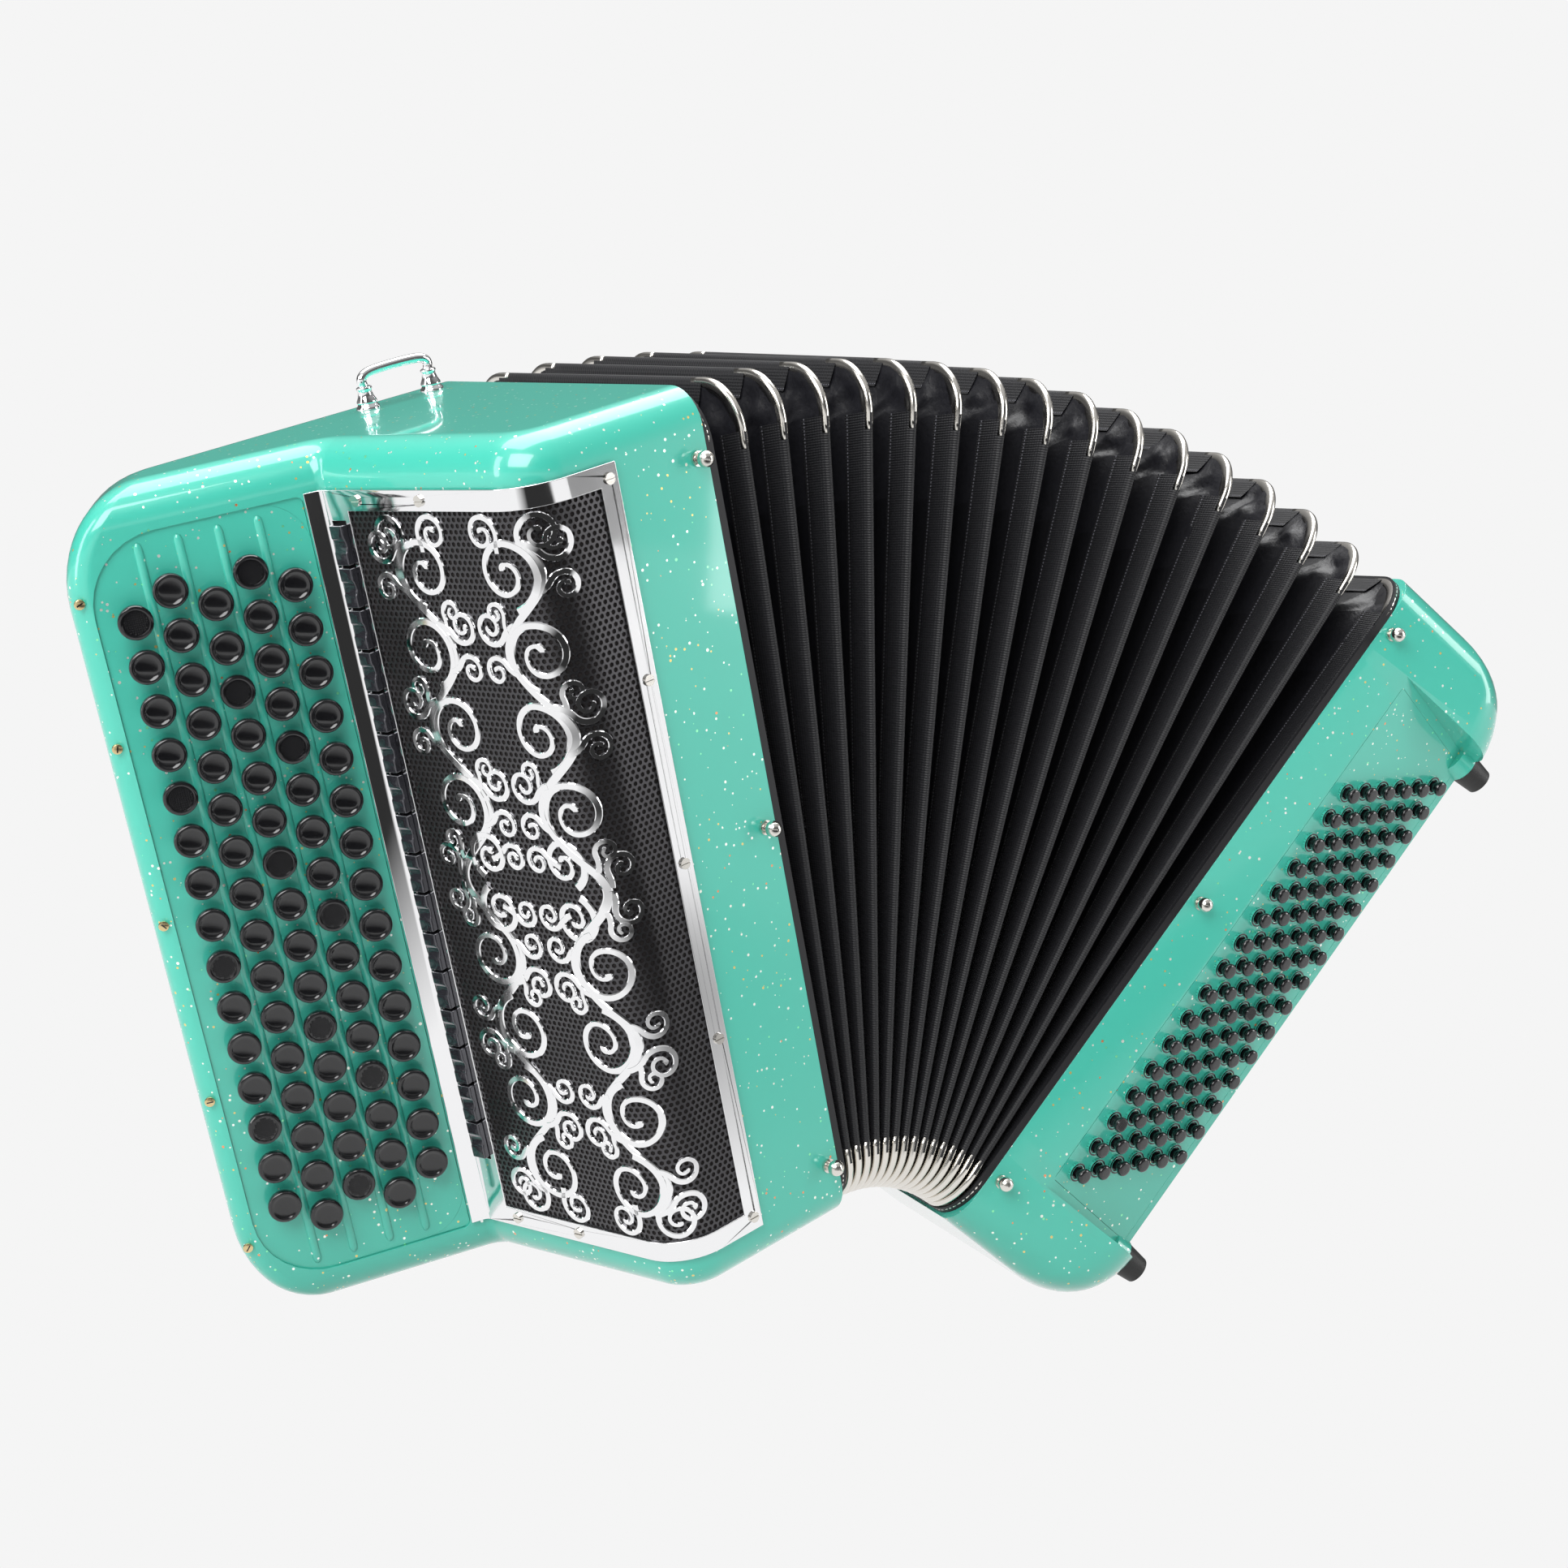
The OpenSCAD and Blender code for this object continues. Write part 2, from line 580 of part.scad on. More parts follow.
// station i: even at a ring, odd in the fold between two rings
function st_a(i) = i % 2 == 0 ? ring_a(i / 2) : (ring_a((i - 1) / 2) + ring_a((i + 1) / 2)) / 2;
function st_p(i) = i % 2 == 0 ? ring_p(i / 2) : (ring_p((i - 1) / 2) + ring_p((i + 1) / 2)) / 2;
function st_x(i) = i == 0 ? ring_t / 2 + 0.3 : i == 2 * n_rings ? -ring_t / 2 - 0.3 : 0;
function st_in(i) = i % 2 == 0 ? skin_in : pleat_depth;
n_st = 2 * n_rings + 1;
skin_pts = [for (i = [0:n_st - 1]) for (u = [0, skin_t]) for (p = loop8(st_in(i) + u, st_x(i)))
  rotn(p, st_a(i)) + st_p(i)];
function quad(a, b, c, d) = [[a, c, b], [a, d, c]];
skin_faces = concat(
  [for (i = [0:n_st - 2]) for (j = [0:7]) for (f = quad(i * 16 + j, i * 16 + (j + 1) % 8,
    (i + 1) * 16 + (j + 1) % 8, (i + 1) * 16 + j)) f],
  [for (i = [0:n_st - 2]) for (j = [0:7]) for (f = quad(i * 16 + 8 + j, (i + 1) * 16 + 8 + j,
    (i + 1) * 16 + 8 + (j + 1) % 8, i * 16 + 8 + (j + 1) % 8)) f],
  [for (j = [0:7]) for (f = quad((j + 1) % 8, j, 8 + j, 8 + (j + 1) % 8)) f],
  [for (j = [0:7]) for (f = quad((n_st - 1) * 16 + j, (n_st - 1) * 16 + (j + 1) % 8,
    (n_st - 1) * 16 + 8 + (j + 1) % 8, (n_st - 1) * 16 + 8 + j)) f]);
module bellows_skin() {
  color([0.02, 0.02, 0.03]) in_world() polyhedron(points = skin_pts, faces = skin_faces, convexity = 20);
}

// ---------- bass ----------
module recess(t) {
  // the cut in front of the button panel, deeper by t
  translate([panel_x0, -hd, 0]) rotate([0, 0, panel_slope])
    translate([0, t - 80, rec_z0]) cube([120, 80, rec_z1 - rec_z0]);
}
module bass_casing() {
  color([0.16, 0.72, 0.58]) in_bass() difference() {
    union() {
      difference() {
        bass_form(0);
        bass_form(wall);
      }
      // ledge that carries the button panel
      intersection() {
        bass_form(1);
        translate([panel_x0, -hd, 0]) rotate([0, 0, panel_slope])
          translate([-4, 0, rec_z0 - wall]) cube([120, 9, rec_z1 - rec_z0 + 2 * wall]);
      }
      // lugs of the strap wheel and bosses under the feet
      at_wheel() cylinder(r = 5.4, h = 24, center = true);
      at_feet() translate([0, 0, -9]) cylinder(r = 8.6, h = 9);
    }
    recess(0);
    translate([-case_face - 30, -hd - 1, zlo - 1]) cube([30, case_depth + 2, zhi - zlo + 2]);
    translate([panel_x0, -hd, 0]) rotate([0, 0, panel_slope]) {
      translate([2, -1, rec_z0 + 5]) cube([panel_w, 1 + panel_t, rec_z1 - rec_z0 - 10]);
      translate([5, 0, rec_z0 + 8]) cube([panel_w - 6, 20, rec_z1 - rec_z0 - 16]);
    }
    for (z = pin_z) for (s = [-1, 1]) translate([8, s * (hd - 10), z]) rotate([90, 0, 0])
      cylinder(r = pin_r + pin_clear, h = 40, center = true, $fn = 24);
    // slots for the ends of the hand strap, the wheel's pocket and the air button's bore
    for (z = [zmid - 142, zmid + 142]) translate([bass_w - 20, -12, z - 11]) cube([30, 59, 22]);
    at_wheel() {
      cylinder(r = 7.6, h = 17, center = true);
      cylinder(r = 2.05, h = 40, center = true, $fn = 32);
    }
    translate([bass_w - 15, -40, air_z]) rotate([0, 90, 0]) cylinder(r = 4 + 0.15, h = 30);
  }
}
module at_wheel() {
  translate([bass_w - bass_r + wheel_out * cos(31), 17.5, zhi - bass_r + wheel_out * sin(31)]) rotate([90, 0, 0]) children();
}
module at_feet() {
  for (y = [-66, 66]) for (z = [36, zhi - 42]) translate([bass_w, y, z]) rotate([0, 90, 0]) children();
}
panel_w = 70;
air_z = 250;
module bass_btn_at(c, j) {
  translate([12 + c * bass_row_pitch, 0, bass_z0 - j * bass_pitch + c * bass_slant]) rotate([90, 0, 0])
    children();
}
module bass_button_panel() {
  color([0.16, 0.72, 0.58]) in_panel() difference() {
    union() {
      translate([2.15, 0, rec_z0 + 5.15]) cube([panel_w - 0.3, panel_t, rec_z1 - rec_z0 - 10.3]);
      for (c = [0:5]) for (j = [0:15]) bass_btn_at(c, j) cylinder(r = 4.9, h = 1.2, $fn = 32);
    }
    for (c = [0:5]) for (j = [0:15]) bass_btn_at(c, j)
      cylinder(r = bass_btn_d / 2 - 0.4 + stem_clear, h = 20, center = true, $fn = 24);
  }
}
module bass_row(c) {
  color([0.03, 0.03, 0.03]) in_panel() for (j = [0:15]) bass_btn_at(c, j) {
    translate([0, 0, bass_btn_h - 2.4]) cylinder(d = bass_btn_d, h = 1.8, $fn = 32);
    translate([0, 0, bass_btn_h - 0.6]) cylinder(d1 = bass_btn_d, d2 = bass_btn_d - 1.4, h = 0.6, $fn = 32);
    translate([0, 0, -9]) cylinder(r = bass_btn_d / 2 - 0.4, h = bass_btn_h + 9 - 2, $fn = 24);
  }
}
module bass_buttons_row_1() { bass_row(0); }
module bass_buttons_row_2() { bass_row(1); }
module bass_buttons_row_3() { bass_row(2); }
module bass_buttons_row_4() { bass_row(3); }
module bass_buttons_row_5() { bass_row(4); }
module bass_buttons_row_6() { bass_row(5); }
module hand_strap() {
  half = 146;
  x0 = bass_w - 4;
  b = strap_bulge + 4;
  R = (half * half + b * b) / (2 * b);
  color([0.09, 0.07, 0.06]) in_bass() translate([0, 45, 0]) rotate([90, 0, 0]) linear_extrude(55)
    intersection() {
      translate([x0 + b - R, zmid]) difference() {
        circle(R, $fn = 180);
        circle(R - 3, $fn = 180);
      }
      translate([x0, zmid - half - 2]) square([b + 2, 2 * half + 4]);
    }
}
module strap_wheel() {
  color([0.1, 0.1, 0.1]) in_bass() at_wheel() {
    difference() {
      cylinder(r = 6.9, h = 16, center = true, $fn = 24);
      for (a = [0:30:330]) rotate(a) translate([7.3, 0, -10]) cylinder(r = 0.9, h = 20, $fn = 16);
    }
    cylinder(r = 2, h = 24, center = true, $fn = 32);
  }
}
module air_button() {
  color([0.03, 0.03, 0.03]) in_bass() translate([bass_w, -40, air_z]) rotate([0, 90, 0]) {
    translate([0, 0, -14]) cylinder(r = 4, h = 18, $fn = 32);
    translate([0, 0, 3.9]) cylinder(r1 = 6, r2 = 5.2, h = 2, $fn = 32);
  }
}
module rubber_feet() {
  color([0.04, 0.04, 0.04]) in_bass() at_feet() cylinder(r1 = 8, r2 = 6.6, h = 12);
}
module bass_valve_board() {
  color([0.8, 0.66, 0.45]) in_bass() difference() {
    translate([36, -hd + wall + seat_gap + 34, 16]) cube([board_t, case_depth - 2 * (wall + seat_gap) - 34, 340]);
    for (y = [-40, -5, 30, 65]) for (j = [0:11]) translate([35, y - 5, 26 + j * 27]) cube([board_t + 2, 12, 14]);
  }
}
bass_block_y = [-36, 2, 40];
module bass_reed_blocks() {
  color([0.86, 0.74, 0.55]) in_bass() for (y = bass_block_y)
    translate([5, y - 10, 22]) difference() {
      cube([31, 20, 328]);
      for (j = [0:7]) translate([5, -1, 7 + j * 40]) cube([22, 22, 30]);
    }
}
module bass_reed_plates() {
  color([0.75, 0.76, 0.78]) in_bass() for (y = bass_block_y) for (s = [-1, 1]) for (j = [0:7])
    translate([8, y + s * 10.6 - 0.6, 27.5 + j * 40]) cube([25, 1.2, 33]);
}
module bellows_pins_bass() {
  color([0.85, 0.85, 0.86]) in_bass() translate([8, 0, 0]) ball_pins();
}

treble_casing();
keyboard_plate();
treble_buttons_row_1();
treble_buttons_row_2();
treble_buttons_row_3();
treble_buttons_row_4();
treble_buttons_row_5();
treble_pallets_row_1();
treble_pallets_row_2();
treble_pallets_row_3();
treble_pallets_row_4();
treble_pallets_row_5();
grille_sheet();
grille_frame();
grille_scrollwork();
register_switches();
strap_bow_top();
strap_bow_bottom();
treble_valve_board();
pallet_axles();
treble_reed_blocks();
treble_reed_plates();
bellows_pins_treble();
grille_screws();
bellows_frame_treble();
bellows_ring_1();
bellows_ring_2();
bellows_ring_3();
bellows_ring_4();
bellows_ring_5();
bellows_ring_6();
bellows_ring_7();
bellows_ring_8();
bellows_ring_9();
bellows_ring_10();
bellows_ring_11();
bellows_ring_12();
bellows_ring_13();
bellows_ring_14();
bellows_ring_15();
bellows_skin();
bellows_frame_bass();
bass_casing();
bass_button_panel();
bass_buttons_row_1();
bass_buttons_row_2();
bass_buttons_row_3();
bass_buttons_row_4();
bass_buttons_row_5();
bass_buttons_row_6();
hand_strap();
strap_wheel();
air_button();
rubber_feet();
bass_valve_board();
bass_reed_blocks();
bass_reed_plates();
bellows_pins_bass();
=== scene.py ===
"""Looks of a chromatic button accordion that stands open like a fan.

Local places are in millimetres: in the treble frame (x = 0 at the first bellows ring, -x to the
hand side, -y to the front, z along the case) or in the frame of a ring, which is the treble frame
carried round that ring's hinge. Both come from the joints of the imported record.
"""
import json
from functools import cache
from math import atan2, cos, hypot, pi, radians, sin, sqrt

import bmesh
import bpy
from mathutils import Matrix, Vector, noise


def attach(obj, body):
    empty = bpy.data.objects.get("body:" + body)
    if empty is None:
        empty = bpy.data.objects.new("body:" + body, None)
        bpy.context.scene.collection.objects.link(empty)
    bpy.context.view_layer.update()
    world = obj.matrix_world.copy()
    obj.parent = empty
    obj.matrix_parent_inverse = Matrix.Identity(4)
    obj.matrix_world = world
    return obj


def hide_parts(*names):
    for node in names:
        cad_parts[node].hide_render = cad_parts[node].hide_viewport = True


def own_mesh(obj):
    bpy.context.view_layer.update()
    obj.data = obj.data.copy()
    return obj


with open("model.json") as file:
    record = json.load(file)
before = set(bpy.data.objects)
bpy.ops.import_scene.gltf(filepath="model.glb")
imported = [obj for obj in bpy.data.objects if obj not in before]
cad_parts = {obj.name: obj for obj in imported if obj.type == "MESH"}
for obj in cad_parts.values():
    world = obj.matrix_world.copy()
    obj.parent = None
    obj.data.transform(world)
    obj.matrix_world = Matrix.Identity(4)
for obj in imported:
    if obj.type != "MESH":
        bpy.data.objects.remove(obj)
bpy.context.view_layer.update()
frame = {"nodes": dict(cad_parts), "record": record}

MM = 0.001
record = frame["record"]
joints = {j["name"]: j for j in record["behaviour"]["joints"]}
ratios = {c["joint"]: c["ratio"] for c in record["behaviour"]["couplings"]}

# ---- sizes shared with the solids
CASE_DEPTH = 192.0
RING_LEN = 372.0
CASE_OVER = 1.5
TREBLE_W, TREBLE_R = 216.0, 46.0
BASS_W, BASS_R = 98.5, 42.0
EDGE_R = 16.0
BTN_PITCH, ROW_PITCH = 19.0, 16.5
KEY_SLOPE = 23.2
KEY_X0 = -189.2
KEY_Z0 = 329.2
ROW_COUNTS = (15, 16, 15, 16, 15)
ROW_SHIFTS = (0.5, 0, 0.5, 0, 0.5)
SHEET_T, FRAME_T = 0.8, 1.2
GRILLE_X1, GRILLE_Z0, GRILLE_Z1 = -49.5, 18.0, 355.0
CLOSED_PITCH, N_RINGS = 3.75, 16
RING_R, TAPE_W, PLEAT_DEPTH = 22.0, 12.0, 26.0
PANEL_X0, PANEL_SLOPE = 28.0, 22.6
REC_Z0, REC_Z1 = 38.0, 335.0
AXLE_1 = Vector((-51, -57, 186))

HALF = CASE_DEPTH / 2
Z_LO, Z_HI = -CASE_OVER, RING_LEN + CASE_OVER
A_WALL, D_WALL = 189.0, 105.6
A_KEY, D_KEY = 270 - KEY_SLOPE, 22.6
A_SIDE, D_SIDE = 145.0, TREBLE_W - 3
FRONT_R, NOOK_R, KEY_EDGE_R, BACK_R = 22.0, 5.0, 10.0, 24.0
PLATE_X0, PLATE_X1, PLATE_Z0, PLATE_Z1 = -15.0, 77.4, 16.0, 354.0
PLATE_SINK = 1.2
BASS_X0, BASS_Z0, BASS_COLUMN, BASS_PITCH, BASS_STAGGER = 12.0, 273.8, 10.3, 14.75, 7.6
WHEEL_OUT, WHEEL_ANGLE, WHEEL_Y, WHEEL_HALF = BASS_R + 2.5, radians(31), 17.5, 8.5
SLOT_OFFSET, SLOT_HALF = 142.0, 11.0
STRAP_HALF, STRAP_BULGE, STRAP_WIDTH = 146.0, 35.0, 55.0


# ---- frames
def basis(origin, ex, ey, ez):
    m = Matrix((ex, ey, ez)).transposed().to_4x4()
    m.translation = origin
    return m @ Matrix.Scale(MM, 4)


def treble_frame():
    lift_1, lift_5 = joints["pallet_row_1_lift"], joints["pallet_row_5_lift"]
    p1, p5 = Vector(lift_1["pos_m"]), Vector(lift_5["pos_m"])
    ez = Vector(lift_1["axis"]).normalized()
    ey = (p5 - p1).normalized()
    ex = ey.cross(ez).normalized()
    origin = p1 - (ex * AXLE_1.x + ey * AXLE_1.y + ez * AXLE_1.z) * MM
    return basis(origin, ex, ey, ez)


TREBLE = treble_frame()
FAN_AXIS = Vector(joints["bellows_fan"]["axis"])
FAN_ANGLE = -radians(joints["bellows_fan"]["range_deg"][0])


def ring_frame(k):
    if k == 0:
        return TREBLE
    name = "fold_%d_turn" % k
    turn = joints["bellows_fan"] if k == N_RINGS else joints[name]
    angle = FAN_ANGLE if k == N_RINGS else FAN_ANGLE * ratios[name]
    p = Matrix.Translation(Vector(turn["pos_m"]))
    closed = TREBLE @ Matrix.Translation((k * CLOSED_PITCH, 0, 0))
    return p @ Matrix.Rotation(angle, 4, FAN_AXIS) @ p.inverted() @ closed


RINGS = [ring_frame(k) for k in range(N_RINGS + 1)]
BASS = RINGS[N_RINGS]
KEY_Y0 = (D_KEY - PLATE_SINK - cos(radians(A_KEY)) * KEY_X0) / sin(radians(A_KEY))
KEY = (TREBLE @ Matrix.Translation((KEY_X0, KEY_Y0, 0))
       @ Matrix.Rotation(radians(-KEY_SLOPE), 4, "Z"))
PANEL = (BASS @ Matrix.Translation((PANEL_X0, -HALF, 0))
         @ Matrix.Rotation(radians(PANEL_SLOPE), 4, "Z"))
OUTWARD = Matrix.Rotation(radians(90), 4, "X")     # turns a lathe's height to local -y


# ---- outlines
def isect(a1, d1, a2, d2):
    a1, a2 = radians(a1), radians(a2)
    s = sin(a2 - a1)
    return ((d1 * sin(a2) - d2 * sin(a1)) / s, (cos(a1) * d2 - cos(a2) * d1) / s)


def corner(a1, d1, a2, d2, r, n):
    """Arc that rounds the corner between two sides given by normal angle and distance."""
    cx, cy = isect(a1, d1 - r, a2, d2 - r)
    steps = [radians(a1 + (a2 - a1) * i / n) for i in range(n + 1)]
    return [(cx + r * cos(a), cy + r * sin(a)) for a in steps]


def treble_outline(t, w, x_end=-2.0):
    side = D_SIDE - max(t, (TREBLE_W - w) * cos(radians(180 - A_SIDE)))
    return ([(x_end, -HALF + t)]
            + corner(270, HALF - t, A_WALL, D_WALL - t, FRONT_R - 0.6 * t, 14)
            + corner(A_WALL, D_WALL - t, A_KEY, D_KEY - t, -NOOK_R - t, 8)
            + corner(A_KEY, D_KEY - t, A_SIDE, side, KEY_EDGE_R - 0.45 * t, 10)
            + corner(A_SIDE, side, 90, HALF - t, BACK_R - 0.8 * t, 10)
            + [(x_end, HALF - t)])


def bass_outline(t, w, x_end=2.0):
    return ([(x_end, -HALF + t)]
            + corner(270, HALF - t, 360, w, 26 - 0.6 * t, 12)
            + corner(0, w, 90, HALF - t, 14 - 0.4 * t, 10)
            + [(x_end, HALF - t)])


def arc_drop(dz, r):
    """How far a round of radius r falls back at a depth of dz below its crown."""
    return r - sqrt(max(r * r - (r - dz) ** 2, 0)) if dz < r else 0.0


# ---- mesh helpers
class Shape:
    """Vertices and faces that grow piece by piece; materials by index."""

    def __init__(self):
        self.verts, self.faces, self.mats = [], [], []

    def add(self, verts, faces, into=None, mat=0):
        base = len(self.verts)
        self.verts += [into @ Vector(v) for v in verts] if into else [Vector(v) for v in verts]
        self.faces += [tuple(base + i for i in f) for f in faces]
        self.mats += [mat] * len(faces)
        return base


def lathe(profile, n=32):
    """Turned form about z from (radius, height) points, closed where the radius is 0."""
    verts, faces, rows = [], [], []
    for r, h in profile:
        count = 1 if r < 1e-6 else n
        rows.append(range(len(verts), len(verts) + count))
        verts += [(r * cos(2 * pi * i / n), r * sin(2 * pi * i / n), h) for i in range(count)]
    for a, b in zip(rows, rows[1:]):
        for i in range(n):
            j = (i + 1) % n
            loop = dict.fromkeys((a[i % len(a)], a[j % len(a)], b[j % len(b)], b[i % len(b)]))
            if len(loop) > 2:
                faces.append(tuple(loop))
    return verts, faces


def grid_faces(rows, cols, wrap=False):
    faces = []
    for i in range(rows - 1):
        for j in range(cols if wrap else cols - 1):
            k = (j + 1) % cols
            faces.append((i * cols + j, i * cols + k, (i + 1) * cols + k, (i + 1) * cols + j))
    return faces


def closed_faces(n, rows=2):
    """Faces of a closed form from rows of n points each: its sides, then both ends."""
    return grid_faces(rows, n, wrap=True) + [tuple(range(n)), tuple(range((rows - 1) * n, rows * n))]


def smooth(mesh, angle):
    mesh.polygons.foreach_set("use_smooth", [True] * len(mesh.polygons))
    mesh.set_sharp_from_angle(angle=radians(angle))


def make(name, shape, materials, crease=38, fix_normals=True):
    mesh = bpy.data.meshes.new(name)
    mesh.from_pydata(shape.verts, [], shape.faces)
    for m in materials:
        mesh.materials.append(m)
    mesh.polygons.foreach_set("material_index", shape.mats)
    if fix_normals:
        bm = bmesh.new()
        bm.from_mesh(mesh)
        bmesh.ops.recalc_face_normals(bm, faces=bm.faces)
        bm.to_mesh(mesh)
        bm.free()
    mesh.update()
    smooth(mesh, crease)
    obj = bpy.data.objects.new(name, mesh)
    bpy.context.scene.collection.objects.link(obj)
    return obj


def settle(obj, crease=38):
    """Applies the object's modifiers."""
    bpy.context.view_layer.update()
    graph = bpy.context.evaluated_depsgraph_get()
    mesh = bpy.data.meshes.new_from_object(obj.evaluated_get(graph), depsgraph=graph)
    obj.modifiers.clear()
    old = obj.data
    obj.data = mesh
    mesh.name = old.name
    bpy.data.meshes.remove(old)
    smooth(mesh, crease)
    return obj


def cut(obj, *shapes):
    """Takes closed shapes out of an object."""
    cutters = [make("cutter", shape, [LACQUER]) for shape in shapes]
    for c in cutters:
        m = obj.modifiers.new("cut", "BOOLEAN")
        m.operation, m.solver, m.object = "DIFFERENCE", "EXACT", c
    settle(obj)
    for c in cutters:
        bpy.data.objects.remove(c)
    return obj


def round_edges(obj, width, segments=3, angle=35, weighted=True):
    b = obj.modifiers.new("round", "BEVEL")
    b.width, b.segments, b.limit_method, b.angle_limit = width * MM, segments, "ANGLE", radians(angle)
    b.harden_normals = True
    if weighted:
        w = obj.modifiers.new("weigh", "WEIGHTED_NORMAL")
        w.keep_sharp = True
    return obj


def dress(obj, body, slot, *replaced):
    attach(obj, body)
    if replaced:
        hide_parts(*replaced)
    return obj


# ---- node helpers
def start_group(name, kind, inputs, outputs):
    """A node group, what it is given and what it results in. Inputs come with a default or a type."""
    t = bpy.data.node_groups.new(name, kind + "NodeTree")
    for label, v in inputs.items():
        sort = v if isinstance(v, str) else "Vector" if isinstance(v, tuple) else "Float"
        s = t.interface.new_socket(label, in_out="INPUT", socket_type="NodeSocket" + sort)
        if not isinstance(v, str):
            s.default_value = v
    for label, sort in outputs.items():
        t.interface.new_socket(label, in_out="OUTPUT", socket_type="NodeSocket" + sort)
    return t, t.nodes.new("NodeGroupInput").outputs, t.nodes.new("NodeGroupOutput").inputs


def node(tree, kind, inputs=None, **settings):
    """A new node; its kind is given without the prefix that the tree's own nodes share."""
    own = tree.bl_idname.removesuffix("Tree")
    n = tree.nodes.new(kind if "Node" in kind else own + kind)
    for k, v in settings.items():
        setattr(n, k, v)
    for k, v in (inputs or {}).items():
        if isinstance(v, bpy.types.NodeSocket):
            tree.links.new(v, n.inputs[k])
        else:
            n.inputs[k].default_value = v
    return n


def math(tree, op, a, b=0.0, c=0.0):
    return node(tree, "Math", {0: a, 1: b, 2: c}, operation=op).outputs[0]


def mix_colour(tree, share, a, b):
    return node(tree, "Mix", {0: share, 6: a, 7: b}, data_type="RGBA").outputs[2]


def object_place(tree):
    return tree.nodes.new("ShaderNodeTexCoord").outputs["Object"]


def set_stops(ramp, stops):
    """Places the stops of a new colour ramp, which starts with two."""
    for i, (at, tone) in enumerate(stops):
        e = ramp.elements[i] if i < 2 else ramp.elements.new(at)
        e.position, e.color = at, (*tone, 1)


def glitter_group():
    """Sparse round flecks: a mask and a colour that changes from fleck to fleck."""
    t, given, result = start_group("glitter_flecks", "Shader",
                                   {"Scale": 250.0, "Share": 0.12, "Size": 0.2},
                                   {"Mask": "Float", "Colour": "Color"})
    cells = node(t, "TexVoronoi", {"Vector": object_place(t), "Scale": given["Scale"]})
    pick = node(t, "SeparateColor", {0: cells.outputs["Color"]})
    near = math(t, "LESS_THAN", cells.outputs["Distance"],
                math(t, "MULTIPLY", given["Size"], math(t, "ADD", pick.outputs[2], 0.4)))
    kept = math(t, "LESS_THAN", pick.outputs[0], given["Share"])
    ramp = node(t, "ValToRGB", {0: pick.outputs[1]})
    ramp.color_ramp.interpolation = "CONSTANT"
    set_stops(ramp.color_ramp, (
        (0.0, (0.9, 0.95, 0.85)), (0.4, (0.8, 0.62, 0.2)), (0.6, (0.95, 1.0, 0.95)),
        (0.8, (0.25, 0.85, 0.45)), (0.92, (0.85, 0.3, 0.12))))
    t.links.new(math(t, "MULTIPLY", near, kept), result["Mask"])
    t.links.new(ramp.outputs[0], result["Colour"])
    return t


def smudge_group():
    """Roughness that wanders a little, as polished parts that were handled."""
    t, given, result = start_group("handled_polish", "Shader",
                                   {"Scale": 30.0, "Low": 0.05, "High": 0.12}, {"Roughness": "Float"})
    n = node(t, "TexNoise", {"Vector": object_place(t), "Scale": given["Scale"], "Detail": 4.0})
    r = node(t, "MapRange", {"Value": n.outputs[0], "From Min": 0.35, "From Max": 0.65,
                             "To Min": given["Low"], "To Max": given["High"]})
    t.links.new(r.outputs[0], result["Roughness"])
    return t


def grain_group():
    """Fine bump from noise of a given scale, for cloth, leather, rubber and wood."""
    t, given, result = start_group("fine_grain", "Shader",
                                   {"Scale": 900.0, "Stretch": (1, 1, 1), "Strength": 0.3},
                                   {"Value": "Float", "Normal": "Vector"})
    drawn = node(t, "VectorMath", {0: object_place(t), 1: given["Stretch"]}, operation="MULTIPLY")
    n = node(t, "TexNoise", {"Vector": drawn.outputs[0], "Scale": given["Scale"], "Detail": 3.0})
    b = node(t, "Bump", {"Height": n.outputs[0], "Strength": given["Strength"], "Distance": 0.0004})
    t.links.new(n.outputs[0], result["Value"])
    t.links.new(b.outputs[0], result["Normal"])
    return t


GLITTER, SMUDGE, GRAIN = glitter_group(), smudge_group(), grain_group()


def group(tree, which, **values):
    g = tree.nodes.new("ShaderNodeGroup")
    g.node_tree = which
    for k, v in values.items():
        g.inputs[k].default_value = v
    return g


def material(name, colour, **principled):
    m = bpy.data.materials.new(name)
    m.use_nodes = True
    p = m.node_tree.nodes["Principled BSDF"]
    p.inputs["Base Color"].default_value = (*colour, 1)
    for k, v in principled.items():
        p.inputs[k.replace("_", " ")].default_value = v
    return m, m.node_tree, p


def polished(name, colour, low, high, scale=30.0, **principled):
    m, t, p = material(name, colour, **principled)
    g = group(t, SMUDGE, Scale=scale, Low=low, High=high)
    t.links.new(g.outputs["Roughness"], p.inputs["Roughness"])
    return m


def grained(name, dark, light, scale, strength, stretch=(1, 1, 1), **principled):
    m, t, p = material(name, dark, **principled)
    g = group(t, GRAIN, Scale=scale, Strength=strength, Stretch=stretch)
    t.links.new(mix_colour(t, g.outputs["Value"], (*dark, 1), (*light, 1)), p.inputs["Base Color"])
    t.links.new(g.outputs["Normal"], p.inputs["Normal"])
    return m


TURQUOISE = (0.047, 0.45, 0.345)


